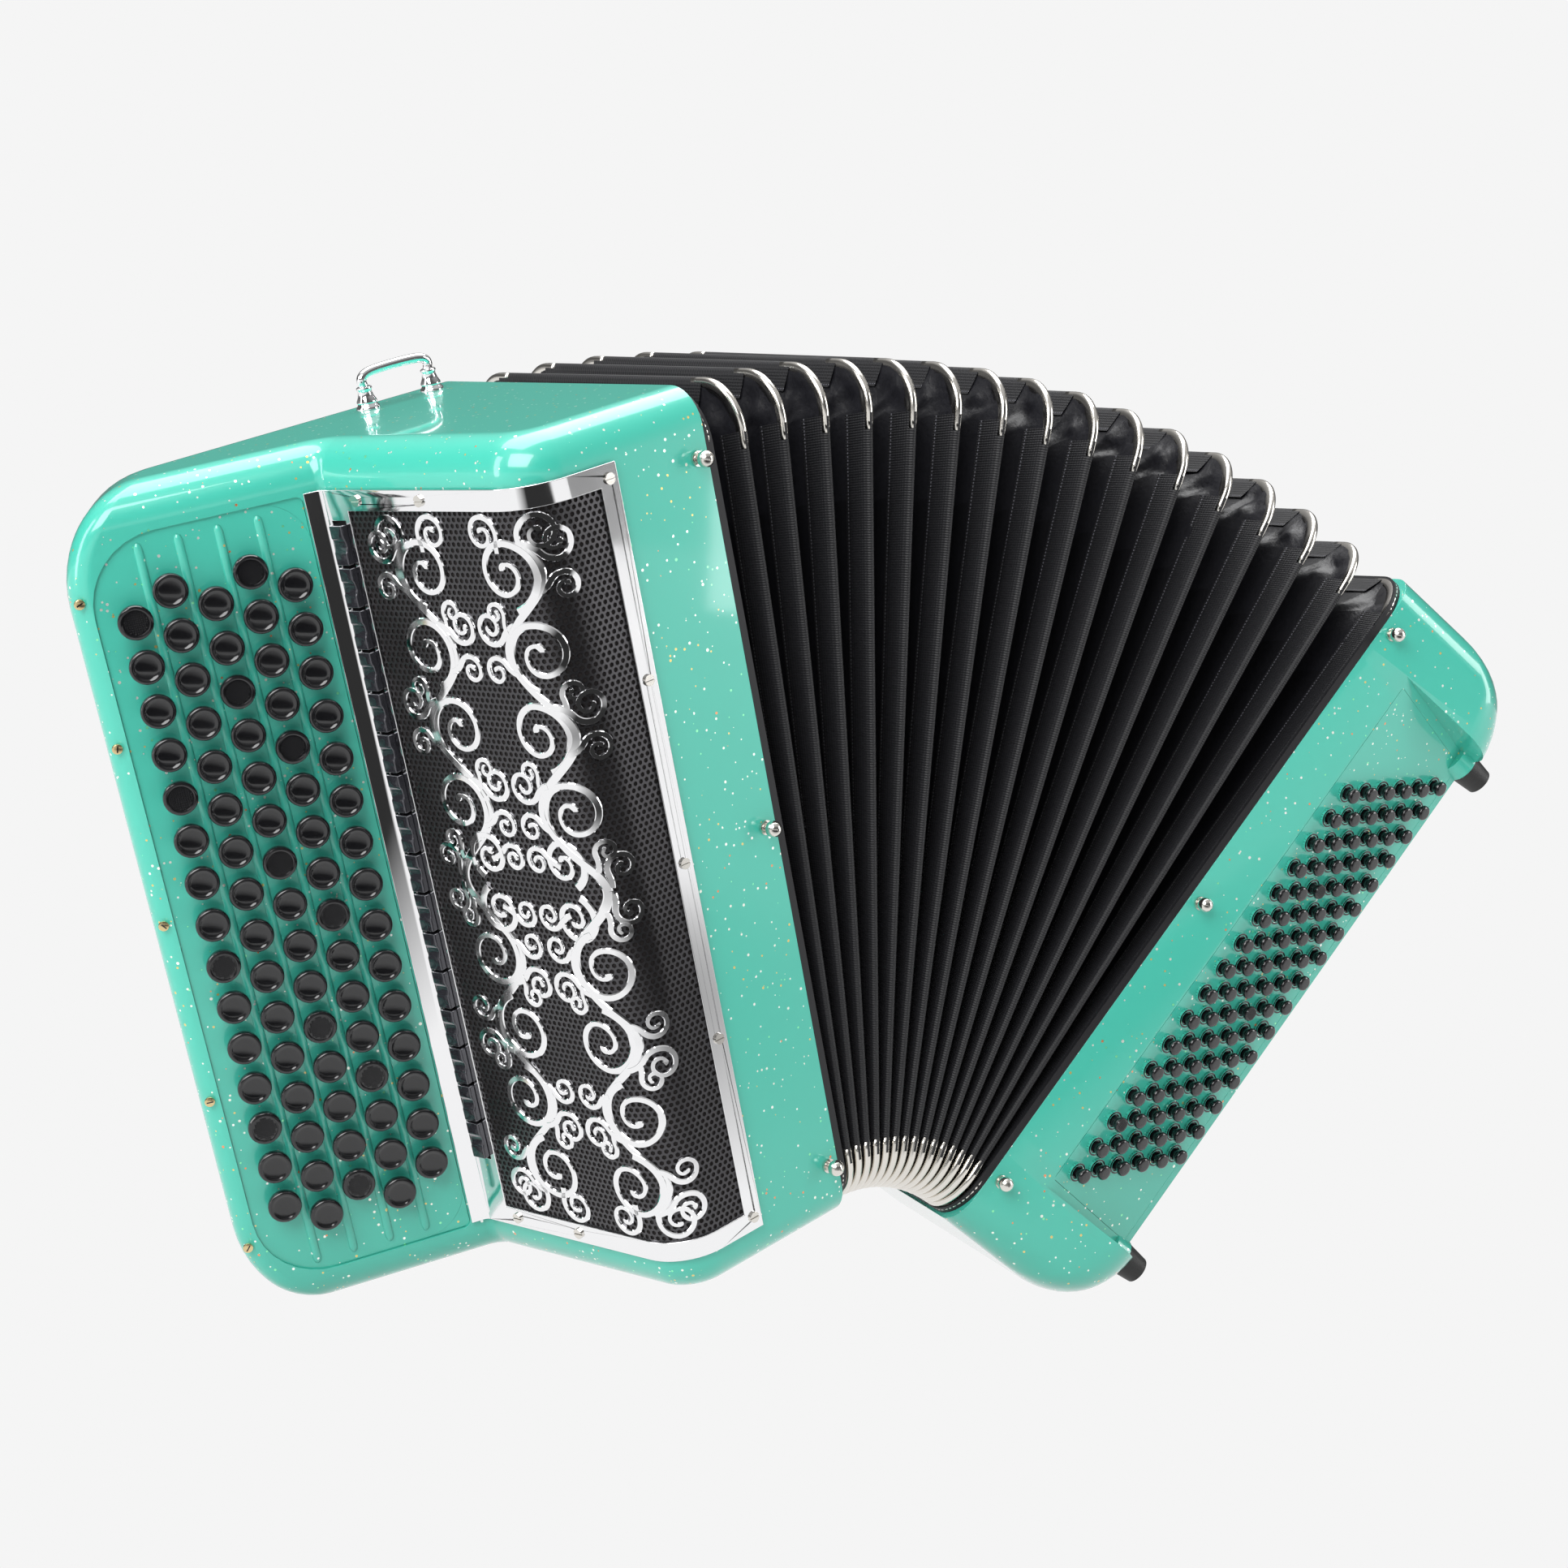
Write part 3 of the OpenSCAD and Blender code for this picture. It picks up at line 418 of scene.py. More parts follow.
def lacquer():
    """Turquoise under clear coat, with two sizes of fleck."""
    m, t, p = material("turquoise_glitter_lacquer", TURQUOISE, Roughness=0.3, Coat_Weight=1.0,
                       Coat_Roughness=0.045)
    big = group(t, GLITTER, Scale=210.0, Share=0.2, Size=0.12)
    fine = group(t, GLITTER, Scale=420.0, Share=0.3, Size=0.2)
    tone = mix_colour(t, fine.outputs["Mask"], (*TURQUOISE, 1), fine.outputs["Colour"])
    tone = mix_colour(t, big.outputs["Mask"], tone, big.outputs["Colour"])
    t.links.new(tone, p.inputs["Base Color"])
    any_fleck = math(t, "MAXIMUM", big.outputs["Mask"], fine.outputs["Mask"])
    t.links.new(math(t, "MULTIPLY", any_fleck, 0.7), p.inputs["Metallic"])
    return m


def tape_material():
    """Woven ribbed tape with a line of light stitches along its edges."""
    black, thread = (0.004, 0.004, 0.006), (0.2, 0.2, 0.23)
    m, t, p = material("ribbed_tape", black, Roughness=0.55, Sheen_Weight=0.04)
    along = node(t, "Attribute", attribute_name="along").outputs["Fac"]
    depth = node(t, "Attribute", attribute_name="depth").outputs["Fac"]
    ribs = math(t, "SINE", math(t, "MULTIPLY", along, 2 * pi / 0.0011))
    warp = math(t, "SINE", math(t, "MULTIPLY", depth, 2 * pi / 0.0013))
    height = math(t, "ADD", math(t, "MULTIPLY", ribs, 0.7), math(t, "MULTIPLY", warp, 0.4))
    bump = node(t, "Bump", {"Height": height, "Strength": 0.55, "Distance": 0.0002})
    t.links.new(bump.outputs[0], p.inputs["Normal"])
    edge = math(t, "COMPARE", depth, (TAPE_W - 1.0) * MM, 0.00022)
    dots = math(t, "GREATER_THAN", math(t, "SINE", math(t, "MULTIPLY", along, 2 * pi / 0.0016)), -0.1)
    stitch = math(t, "MULTIPLY", math(t, "MULTIPLY", edge, dots), 0.75)
    t.links.new(mix_colour(t, stitch, (*black, 1), (*thread, 1)), p.inputs["Base Color"])
    return m


LACQUER = lacquer()
BUTTON_BLACK = polished("button_black", (0.006, 0.006, 0.007), 0.09, 0.2, Coat_Weight=0.5)
CHROME = polished("chrome", (0.93, 0.93, 0.94), 0.03, 0.09, Metallic=1.0)
NICKEL = polished("nickel", (0.78, 0.75, 0.70), 0.12, 0.24, scale=60.0, Metallic=1.0)
DARK_MIRROR = polished("dark_mirror", (0.05, 0.05, 0.06), 0.04, 0.1, Metallic=0.6, Coat_Weight=1.0)
MESH_BLACK = polished("mesh_black", (0.085, 0.083, 0.088), 0.2, 0.34, Metallic=0.9)
BRASS = polished("brass", (0.78, 0.62, 0.34), 0.15, 0.3, Metallic=1.0)
STEEL = polished("steel", (0.6, 0.6, 0.62), 0.25, 0.4, Metallic=1.0)
ALUMINIUM = polished("reed_aluminium", (0.75, 0.76, 0.78), 0.3, 0.45, Metallic=1.0)
PLEAT = grained("pleat_cloth", (0.003, 0.003, 0.004), (0.008, 0.008, 0.011), 700.0, 0.35,
                Roughness=0.42)
LEATHER = grained("gusset_leather", (0.005, 0.005, 0.007), (0.015, 0.015, 0.019), 500.0, 0.5,
                  Roughness=0.38)
STRAP = grained("strap_leather", (0.02, 0.013, 0.01), (0.05, 0.034, 0.026), 600.0, 0.6, Roughness=0.45)
RUBBER = grained("rubber", (0.01, 0.01, 0.01), (0.02, 0.02, 0.02), 1500.0, 0.4, Roughness=0.5)
BACK_CLOTH = grained("grille_cloth", (0.002, 0.002, 0.002), (0.012, 0.007, 0.007), 900.0, 0.6,
                     Roughness=0.9)
WOOD = grained("pale_wood", (0.5, 0.34, 0.19), (0.72, 0.55, 0.35), 60.0, 0.3, (6, 6, 1), Roughness=0.55)
PLASTIC = grained("matt_plastic", (0.012, 0.012, 0.012), (0.02, 0.02, 0.02), 1200.0, 0.2, Roughness=0.4)
TAPE = tape_material()


# ---- repeats
def repeat_tree():
    """Puts an object at every point of a mesh, as real geometry of one material."""
    t, given, result = start_group(
        "repeat_on_points", "Geometry",
        {"Geometry": "Geometry", "Instance": "Object", "Material": "Material"},
        {"Geometry": "Geometry"})
    points = node(t, "MeshToPoints", {"Mesh": given["Geometry"]})
    info = node(t, "ObjectInfo", {"Object": given["Instance"]})
    put = node(t, "InstanceOnPoints", {"Points": points.outputs[0], "Instance": info.outputs["Geometry"]})
    real = node(t, "RealizeInstances", {"Geometry": put.outputs[0]})
    mat = node(t, "SetMaterial", {"Geometry": real.outputs[0], "Material": given["Material"]})
    t.links.new(mat.outputs[0], result["Geometry"])
    return t


REPEAT = repeat_tree()


def repeat(name, places, pattern, mat, crease=38):
    """Pattern, a Shape drawn about the origin in row-frame directions, at each place."""
    source = make(name + "_pattern", pattern, [mat], crease)
    points = Shape()
    points.add(places, [])
    obj = make(name, points, [], fix_normals=False)
    m = obj.modifiers.new("repeat", "NODES")
    m.node_group = REPEAT
    given = {"Instance": source, "Material": mat}
    for item in REPEAT.interface.items_tree:
        if item.in_out == "INPUT" and item.name in given:
            m[item.identifier] = given[item.name]
    settle(obj, crease)
    bpy.data.objects.remove(source)
    return obj


def turned_to(frame_matrix, profile, n=32, extra=None):
    """A lathe form, its height along local -y, with the frame's directions but no place."""
    s = Shape()
    turn = frame_matrix.copy()
    turn.translation = (0, 0, 0)
    s.add(*lathe(profile, n), into=turn @ OUTWARD)
    if extra:
        s.add(*extra, into=turn @ OUTWARD)
    return s


# ---- cases
LEVELS = [0, 0.25, 0.9, 2.0, 3.6, 5.6, 8.0, 10.8, 13.6, 16, 19, 23, 28, 34, 40, 46, 52]


def loft_case(outline, width, corner_r):
    """Closed solid: the plan outline carried up the case, rounded at both ends."""
    span = Z_HI - Z_LO
    stack = [(Z_LO + d, d) for d in LEVELS] + [(Z_LO + span / 2, span / 2)] \
        + [(Z_HI - d, d) for d in reversed(LEVELS)]
    rows = []
    for z, d in stack:
        t = arc_drop(d, EDGE_R)
        w = width - arc_drop(d, corner_r)
        rows.append([(x, y, z) for x, y in outline(t, w)])
    return [v for row in rows for v in row], closed_faces(len(rows[0]), len(rows))


def rounded_rect(x0, x1, z0, z1, r, n=8):
    """Outline with n + 1 points on each corner, from the corner at x1, z1 round by way of x0, z1."""
    pts = []
    centres = ((x1 - r, z1 - r, 0), (x0 + r, z1 - r, 90), (x0 + r, z0 + r, 180), (x1 - r, z0 + r, 270))
    for cx, cz, a in centres:
        turns = [radians(a + 90 * i / n) for i in range(n + 1)]
        pts += [(cx + r * cos(b), cz + r * sin(b)) for b in turns]
    return pts


def slab(outline_xz, y0, y1, into):
    """Slab over an outline in x and z, from y0 to y1."""
    s = Shape()
    s.add([(x, y, z) for y in (y0, y1) for x, z in outline_xz], closed_faces(len(outline_xz)), into)
    return s


def key_window():
    """The keyboard's opening: small corners beside the grille, large ones at the hand side."""
    small, large = (rounded_rect(PLATE_X0, PLATE_X1, PLATE_Z0, PLATE_Z1, r) for r in (3, 31))
    return small[:9] + large[9:27] + small[27:]


def treble_case():
    shell = Shape()
    shell.add(*loft_case(treble_outline, TREBLE_W, TREBLE_R), into=TREBLE)
    obj = make("treble_case", shell, [LACQUER])
    cut(obj, slab(key_window(), -10, 14, KEY))
    round_edges(obj, 1.1)
    return dress(obj, "treble_body", "turquoise_lacquer", "treble_casing")


def at_wheel(dy):
    """Frame at the strap wheel's axis, dy from its middle, its height along local -y."""
    return BASS @ Matrix.Translation((
        BASS_W - BASS_R + WHEEL_OUT * cos(WHEEL_ANGLE), WHEEL_Y + dy,
        Z_HI - BASS_R + WHEEL_OUT * sin(WHEEL_ANGLE))) @ OUTWARD


FEET = [(y, z) for y in (-66, 66) for z in (36, Z_HI - 42)]
FOOT_R, POCKET_R = 8.6, 7.6
SEAT_DEPTH, WELL_DEPTH = 3.02, 15


def bass_case():
    shell = Shape()
    shell.add(*loft_case(bass_outline, BASS_W, BASS_R), into=BASS)
    obj = make("bass_case", shell, [LACQUER])
    recess = slab([(-30, REC_Z0), (130, REC_Z0), (130, REC_Z1), (-30, REC_Z1)], -90, 0, PANEL)
    seat = slab(rounded_rect(2, 72, REC_Z0 + 5, REC_Z1 - 5, 1.5, 3), -1, SEAT_DEPTH, PANEL)
    well = slab(rounded_rect(5, 69, REC_Z0 + 8, REC_Z1 - 8, 1.5, 3), -1, WELL_DEPTH, PANEL)
    cut(obj, recess, seat, well)
    for s in (-1, 1):
        z = RING_LEN / 2 + s * SLOT_OFFSET
        z0, z1 = z - SLOT_HALF, z + SLOT_HALF
        cut(obj, slab([(80, z0), (110, z0), (110, z1), (80, z1)], -12, 47, BASS))
    pocket, depth = Shape(), 2 * WHEEL_HALF
    pocket.add(*lathe([(0, 0), (POCKET_R, 0), (POCKET_R, depth), (0, depth)], 40),
               into=at_wheel(WHEEL_HALF))
    cut(obj, pocket)
    round_edges(obj, 1.1)
    dress(obj, "bass_body", "turquoise_lacquer", "bass_casing")
    extra = Shape()
    for dy in (WHEEL_HALF + 3.5, -WHEEL_HALF):
        extra.add(*lathe([(0, 0), (4.8, 0), (5.4, 0.5), (5.4, 3), (4.8, 3.5), (0, 3.5)], 32),
                  into=at_wheel(dy))
    for y, z in FEET:
        at = BASS @ Matrix.Translation((BASS_W - 9, y, z)) @ Matrix.Rotation(radians(90), 4, "Y")
        extra.add(*lathe([(0, 0), (FOOT_R, 0), (FOOT_R, 8.4), (8.0, 9), (0, 9)], 40), into=at)
    dress(make("bass_case_bosses", extra, [LACQUER]), "bass_body", "turquoise_lacquer")


# ---- buttons
def dish(r, top, sink, n=5):
    """Profile from the rim's inside edge to the middle of a shallow dish."""
    return [(r * (1 - i / n), top - sink * sin(pi / 2 * i / n) ** 0.8) for i in range(n + 1)]


TREBLE_BUTTON = ([(0, -4), (2.5, -4), (2.5, 3.2), (3.0, 4.0), (4.6, 4.35), (6.6, 4.75), (7.15, 5.1),
                  (7.3, 5.7), (7.3, 7.2), (7.18, 7.75), (6.85, 8.2), (6.4, 8.42), (5.95, 8.5),
                  (5.5, 8.38)] + dish(5.2, 8.05, 0.75))
BASS_BUTTON = [(0, -3), (2.6, -3), (2.6, 3.6), (2.9, 4.2), (3.4, 4.5), (3.66, 4.9), (3.7, 5.5),
               (3.6, 6.2), (3.3, 6.65), (2.8, 6.9), (2.0, 7.0), (0, 6.85)]
BASS_COLLAR = [(0, 0), (4.9, 0), (4.9, 0.9), (4.6, 1.25), (3.9, 1.3), (3.5, 0.9), (3.3, 0.3), (0, 0.3)]
KNURLED = {0: (0, 4, 8, 12), 2: (2, 6, 10, 14), 3: (0, 4, 8, 12)}
BASS_KNURLED = {0: (13,), 2: (4,), 3: (9,)}
SQUARE = ((-1, -1), (1, -1), (1, 1), (-1, 1))


def knurl(r, top, pitch, height):
    """Little pyramids over a round button face."""
    verts, faces = [], []
    n, h = int(r / pitch), pitch * 0.47
    for x, y in [(i * pitch, j * pitch) for i in range(-n, n + 1) for j in range(-n, n + 1)]:
        if hypot(x, y) <= r - pitch * 0.5:
            b = len(verts)
            verts += [(x + sx * h, y + sy * h, top) for sx, sy in SQUARE] + [(x, y, top + height)]
            faces += [(b + q, b + (q + 1) % 4, b + 4) for q in range(4)]
    return verts, faces


def treble_place(i, j):
    return KEY @ Vector((i * ROW_PITCH, 0, KEY_Z0 - (ROW_SHIFTS[i] + j) * BTN_PITCH))


def bass_place(c, j):
    return PANEL @ Vector((BASS_X0 + c * BASS_COLUMN, 0, BASS_Z0 - j * BASS_PITCH + c * BASS_STAGGER))


def button_row(body, cad, plain, marked, label, pattern, knurled):
    """A row's buttons on its body, those with knurled faces as a piece of their own."""
    dress(repeat(body + "_buttons", plain, pattern, BUTTON_BLACK), body, "black_buttons", cad)
    if marked:
        dress(repeat(body + label, marked, knurled, BUTTON_BLACK, 20), body, "black_buttons")


def treble_rows():
    pattern = turned_to(KEY, TREBLE_BUTTON, 40)
    flat = TREBLE_BUTTON[:-6] + [(5.3, 7.9), (0, 7.9)]
    knurled = turned_to(KEY, flat, 40, knurl(5.2, 7.88, 0.9, 0.42))
    for i, count in enumerate(ROW_COUNTS):
        rough = KNURLED.get(i, ())
        plain = [treble_place(i, j) for j in range(count) if j not in rough]
        button_row("treble_row_%d" % (i + 1), "treble_buttons_row_%d" % (i + 1), plain,
                   [treble_place(i, j) for j in rough], "_marked_buttons", pattern, knurled)


def bass_rows():
    collars = repeat("bass_button_collars", [bass_place(c, j) for c in range(6) for j in range(16)],
                     turned_to(PANEL, BASS_COLLAR, 24), BUTTON_BLACK)
    dress(collars, "bass_body", "black_buttons")
    pattern = turned_to(PANEL, BASS_BUTTON, 28)
    flat = BASS_BUTTON[:-3] + [(3.0, 6.75), (0, 6.75)]
    knurled = turned_to(PANEL, flat, 28, knurl(3.1, 6.73, 0.75, 0.3))
    for c in range(6):
        rough = BASS_KNURLED.get(c, ())
        plain = [bass_place(c, j) for j in range(16) if j not in rough]
        button_row("bass_row_%d" % (c + 1), "bass_buttons_row_%d" % (c + 1), plain,
                   [bass_place(c, j) for j in rough], "_marked_button", pattern, knurled)


# ---- grille
def band_path(lift):
    """The grille's plan line from the valley up the wall, over the hump and along the front strip,
    with its length; lift is how far it stands off the case."""
    hump = corner(270, HALF + lift, A_WALL, D_WALL + lift, FRONT_R + lift, 24)
    valley = isect(A_WALL, D_WALL + lift, A_KEY, D_KEY + lift)
    pts = [valley, *reversed(hump), (GRILLE_X1, -HALF - lift)]
    lengths = [0.0]
    for a, b in zip(pts, pts[1:]):
        lengths.append(lengths[-1] + hypot(b[0] - a[0], b[1] - a[1]))
    return pts, lengths


def on_band(path, s):
    pts, lengths = path
    s = min(max(s, 0.0), lengths[-1])
    for i in range(len(pts) - 1):
        if s <= lengths[i + 1]:
            f = (s - lengths[i]) / (lengths[i + 1] - lengths[i])
            (x0, y0), (x1, y1) = pts[i], pts[i + 1]
            return x0 + f * (x1 - x0), y0 + f * (y1 - y0)
    return pts[-1]


MESH_S0 = 13.5
HOLE_PITCH = 2.9
CLOTH_LIFT, CLOTH_STEPS = 0.25, 180     # the cloth lies between the case and the sheet


def mesh_sheet():
    """Perforated sheet: a honeycomb of cells, each with a six-sided hole."""
    path = band_path(SHEET_T)
    s1 = path[1][-1] - 1
    shape = Shape()
    cell, hole = HOLE_PITCH / sqrt(3), HOLE_PITCH * 0.37
    z, row = GRILLE_Z0 + 3, 0
    while z < GRILLE_Z1 - 3:
        s = MESH_S0 + 1.5 + (HOLE_PITCH / 2 if row % 2 else 0)
        while s < s1 - 1.5:
            verts = []
            for r in (cell, hole):
                for i in range(6):
                    a = radians(30 + 60 * i)
                    x, y = on_band(path, s + r * cos(a))
                    verts.append((x, y, z + r * sin(a)))
            shape.add(verts, [(i, (i + 1) % 6, 6 + (i + 1) % 6, 6 + i) for i in range(6)], TREBLE)
            s += HOLE_PITCH
        z += HOLE_PITCH * sqrt(3) / 2
        row += 1
    obj = make("grille_mesh", shape, [MESH_BLACK], crease=60, fix_normals=False)
    dress(obj, "treble_body", "black_mesh", "grille_sheet")
    cloth = Shape()
    under = band_path(CLOTH_LIFT)
    ss = [1 + (s1 - 2) * i / CLOTH_STEPS for i in range(CLOTH_STEPS + 1)]
    zs = (GRILLE_Z0 + 1, GRILLE_Z1 - 1)
    cloth.add([(*on_band(under, s), z) for z in zs for s in ss], grid_faces(2, len(ss)), TREBLE)
    dress(make("grille_cloth", cloth, [BACK_CLOTH], fix_normals=False), "treble_body", "black_mesh")


SPIRAL_STEPS, TAIL_STEPS = 60, 8


def scroll(cx, cz, r, start, turn, sweep=430, tail=0.0, tail_turn=0.0):
    """Points of a scroll: a spiral that closes on (cx, cz), drawn from its outer end inwards.
    start is the angle of its outer end, turn +1 or -1 its sense."""
    pts = []
    for i in range(SPIRAL_STEPS + 1):
        f = i / SPIRAL_STEPS
        a = radians(start + turn * sweep * f)
        q = r * (1 - f) ** 0.8 * 0.88 + r * 0.12
        pts.append((cx + q * cos(a), cz + q * sin(a)))
    if tail:
        a = radians(start - turn * 90)
        x, z = pts[0]
        lead = []
        for i in range(1, TAIL_STEPS + 1):
            b = a - turn * radians(tail_turn) * i / TAIL_STEPS
            x += tail / TAIL_STEPS * cos(b)
            z += tail / TAIL_STEPS * sin(b)
            lead.append((x, z))
        pts = lead[::-1] + pts
    return pts


BAR_SECTION = ((-1.0, 0.0), (-0.96, 0.6), (-0.72, 1.0), (0.72, 1.0), (0.96, 0.6), (1.0, 0.0))


def ribbon(shape, path, pts, w0, w1, height, ball=0.0):
    """Flat bar of width w0 to w1 along points in band length and height z."""
    n, cols, verts = len(pts), len(BAR_SECTION), []
    for i, (s, z) in enumerate(pts):
        a, b = pts[max(i - 1, 0)], pts[min(i + 1, n - 1)]
        ts, tz = b[0] - a[0], b[1] - a[1]
        length = hypot(ts, tz) or 1
        ns, nz = -tz / length, ts / length
        f = i / (n - 1)
        w = (w0 + (w1 - w0) * f) / 2
        if ball and f > 0.9:
            w *= 1 + ball * sin(pi * (f - 0.9) / 0.1 * 0.9)
        for off, up in BAR_SECTION:
            off *= w
            x, y = on_band(path, s + ns * off)
            dx, dy = on_band_normal(path, s + ns * off)
            verts.append((x + dx * up * height, y + dy * up * height, z + nz * off))
    ends = [tuple(range(cols)), tuple(range(n * cols - 1, (n - 1) * cols - 1, -1))]
    shape.add(verts, grid_faces(n, cols) + ends, TREBLE)


def on_band_normal(path, s):
    """Direction away from the case at a length along the band."""
    a, b = on_band(path, s - 0.8), on_band(path, s + 0.8)
    tx, ty = b[0] - a[0], b[1] - a[1]
    length = hypot(tx, ty) or 1
    nx, ny = ty / length, -tx / length
    out = nx * (a[0] + 60) + ny * a[1] > 0
    return (nx, ny) if out else (-nx, -ny)


STEM_AT, STEM_SWAY, LOBE = 27.5, 12.0, 33.5
BAND_AXIS = 76.5


def scroll_strokes():
    """The grille's scrollwork: four wavy stems, mirrored about both middles, with a spiral curled up in
    each bend and tendrils outside it."""
    mid = (GRILLE_Z0 + GRILLE_Z1) / 2
    strokes = []

    def four(pts, w0=3.3, w1=1.7, ball=0.7):
        for su in (-1, 1):
            for sv in (-1, 1):
                strokes.append(([(BAND_AXIS + su * u, mid + sv * v) for u, v in pts], w0, w1, ball))

    top = 4 * LOBE + 13
    heights = [top * i / 110 for i in range(111)]
    four([(STEM_AT + STEM_SWAY * cos(pi * v / LOBE), v) for v in heights], 4.4, 3.4, 0)
    for k in range(1, 5):
        side = 1 if k % 2 == 0 else -1
        big, upper, lower, inner = (-78, -150, 150, -20) if side > 0 else (258, -30, 30, 200)
        v = LOBE * k
        cu = STEM_AT - side * 4.4
        four(scroll(cu, v + 0.4, 15.8, big, side, 570), 4.0, 2.0)
        four(scroll(STEM_AT + side * 19.4, v + 11.5, 7.6, upper, side, 520, 9, -50), 3.2, 1.8)
        four(scroll(STEM_AT + side * 20.0, v - 7.0, 6.4, lower, -side, 480, 8, -50), 3.0, 1.7)
        four(scroll(cu - side * 10.4, v - 16.2, 5.0, inner, side, 440, 7, -40), 2.8, 1.6)
    four(scroll(STEM_AT - 6.0, 12.2, 11.2, -62, 1, 560), 3.8, 1.9)
    four(scroll(STEM_AT - 20.5, 12.0, 6.2, 40, 1, 500, 10, -30), 3.0, 1.7)
    four(scroll(STEM_AT + 19.6, 9.5, 6.4, 200, -1, 470, 6, -30), 3.0, 1.7)
    four(scroll(STEM_AT - 13.0, top + 3.5, 8.2, -20, 1, 520, 5, -20), 3.2, 1.7)
    four(scroll(STEM_AT + 13.5, top + 2.5, 9.0, 215, -1, 520, 5, -20), 3.2, 1.7)
    return strokes


def scrollwork():
    path = band_path(SHEET_T)
    shape = Shape()
    for i, (pts, w0, w1, ball) in enumerate(scroll_strokes()):
        ribbon(shape, path, pts, w0, w1, FRAME_T * (0.8 + 0.03 * (i % 7)), ball)
    obj = make("grille_scrolls", shape, [CHROME], crease=30)
    dress(obj, "treble_body", "chrome_trim", "grille_scrollwork")


# ---- bellows
SIDE_STEPS = (10, 18)       # along a short side, along a long side
ARC_STEPS = 12
VALLEY_R = 6.0


def ring_loop(inset, r):
    """Closed loop round the ring's edge: (y, z), and for each point how far it is in a corner."""
    hy, z0, z1 = HALF - inset, inset, RING_LEN - inset
    centres = ((hy - r, z1 - r), (r - hy, z1 - r), (r - hy, z0 + r), (hy - r, z0 + r))
    pts, weight = [], []
    for quarter, (cy, cz) in enumerate(centres):
        for i in range(ARC_STEPS + 1):
            b = radians(90 * quarter + 90 * i / ARC_STEPS)
            pts.append((cy + r * cos(b), cz + r * sin(b)))
            weight.append(sin(pi * (0.1 + 0.8 * i / ARC_STEPS)))
        long_side = quarter % 2
        n = SIDE_STEPS[long_side]
        y, z = pts[-1]
        end_y, end_z = centres[(quarter + 1) % 4]
        for i in range(1, n):
            f = i / n
            pts.append((y, z + (end_z - z) * f) if long_side else (y + (end_y - y) * f, z))
            near = min(f, 1 - f) * n
            weight.append(0.55 if near < 1.5 else 0.2 if near < 2.5 else 0.0)
    return pts, weight


@cache
def local_loop(inset):
    return ring_loop(inset, max(RING_R - inset, VALLEY_R))[0]


RIDGE = [(0.0, 0.25), (0.9, 0.45), (1.4, 1.1), (1.55, 2.2)]
RIDGE_X, RIDGE_D = RIDGE[-1]
FACE_DEPTH = PLEAT_DEPTH - RIDGE_D
VALLEY_LOOP, CORNER_WEIGHT = ring_loop(PLEAT_DEPTH, VALLEY_R)
LOOP_HOLD = 0.65            # how much of its ring's outline a point on the face keeps
BULGE = 0.12
PLEAT_STEPS = 9


def face_point(k, side, f, j):
    """Point j at share f of the way from ring k's ridge down the face, and the valley's point."""
    p = Vector((0, *VALLEY_LOOP[j]))
    valley = RINGS[k].inverted() @ ((RINGS[k] @ p + RINGS[k + side] @ p) / 2)
    q = Vector((side * RIDGE_X, *local_loop(RIDGE_D)[j])).lerp(valley, f)
    y, z = local_loop(RIDGE_D + FACE_DEPTH * f)[j]
    free = 1 - LOOP_HOLD
    return Vector((q.x, q.y * free + y * LOOP_HOLD, q.z * free + z * LOOP_HOLD)), valley


def half_pleat(k, side, shape, corner_mat, plain_mat):
    """One face of the fold: from ring k's ridge to the valley shared with its neighbour."""
    rows = [[Vector((side * x, y, z)) for y, z in local_loop(d)] for x, d in RIDGE]
    for u in range(1, PLEAT_STEPS + 1):
        f = u / PLEAT_STEPS
        row = []
        for j, w in enumerate(CORNER_WEIGHT):
            p, valley = face_point(k, side, f, j)
            if u == PLEAT_STEPS:
                p = valley.copy()
            spread = abs(valley.x)
            crumple = noise.noise(Vector((p.y * 0.09, p.z * 0.09, k * 3.7 + side))) \
                + 0.5 * noise.noise(Vector((p.y * 0.22, p.z * 0.22, k * 1.3 - side * 5)))
            p.x += sin(pi * f) * spread * (w * crumple * 0.34 - side * (BULGE + 0.1 * w))
            p.x = side * min(max(side * p.x, 0.9), max(0.97 * spread, 1.0))
            row.append(p)
        rows.append(row)
    n = len(rows[0])
    base = shape.add([v for row in rows for v in row], [], RINGS[k])
    for f in grid_faces(len(rows), n, wrap=True):
        shape.faces.append(tuple(base + i for i in f))
        shape.mats.append(corner_mat if CORNER_WEIGHT[f[0] % n] > 0.3 else plain_mat)


def straight_runs():
    """Index ranges of the ring loop's four straight sides, and how many points the loop has."""
    runs, i = [], 0
    for quarter in range(4):
        first = i + ARC_STEPS
        i = first + SIDE_STEPS[quarter % 2]
        runs.append((first, i))
    return runs, i


TAPE_EDGE = (TAPE_W - RIDGE_D) / FACE_DEPTH
TAPE_LIFT = 0.35
TAPE_RIDGE = [(-1.2, 0.5), (-0.6, 0.05), (0.0, 0.0), (0.6, 0.05), (1.2, 0.5)]


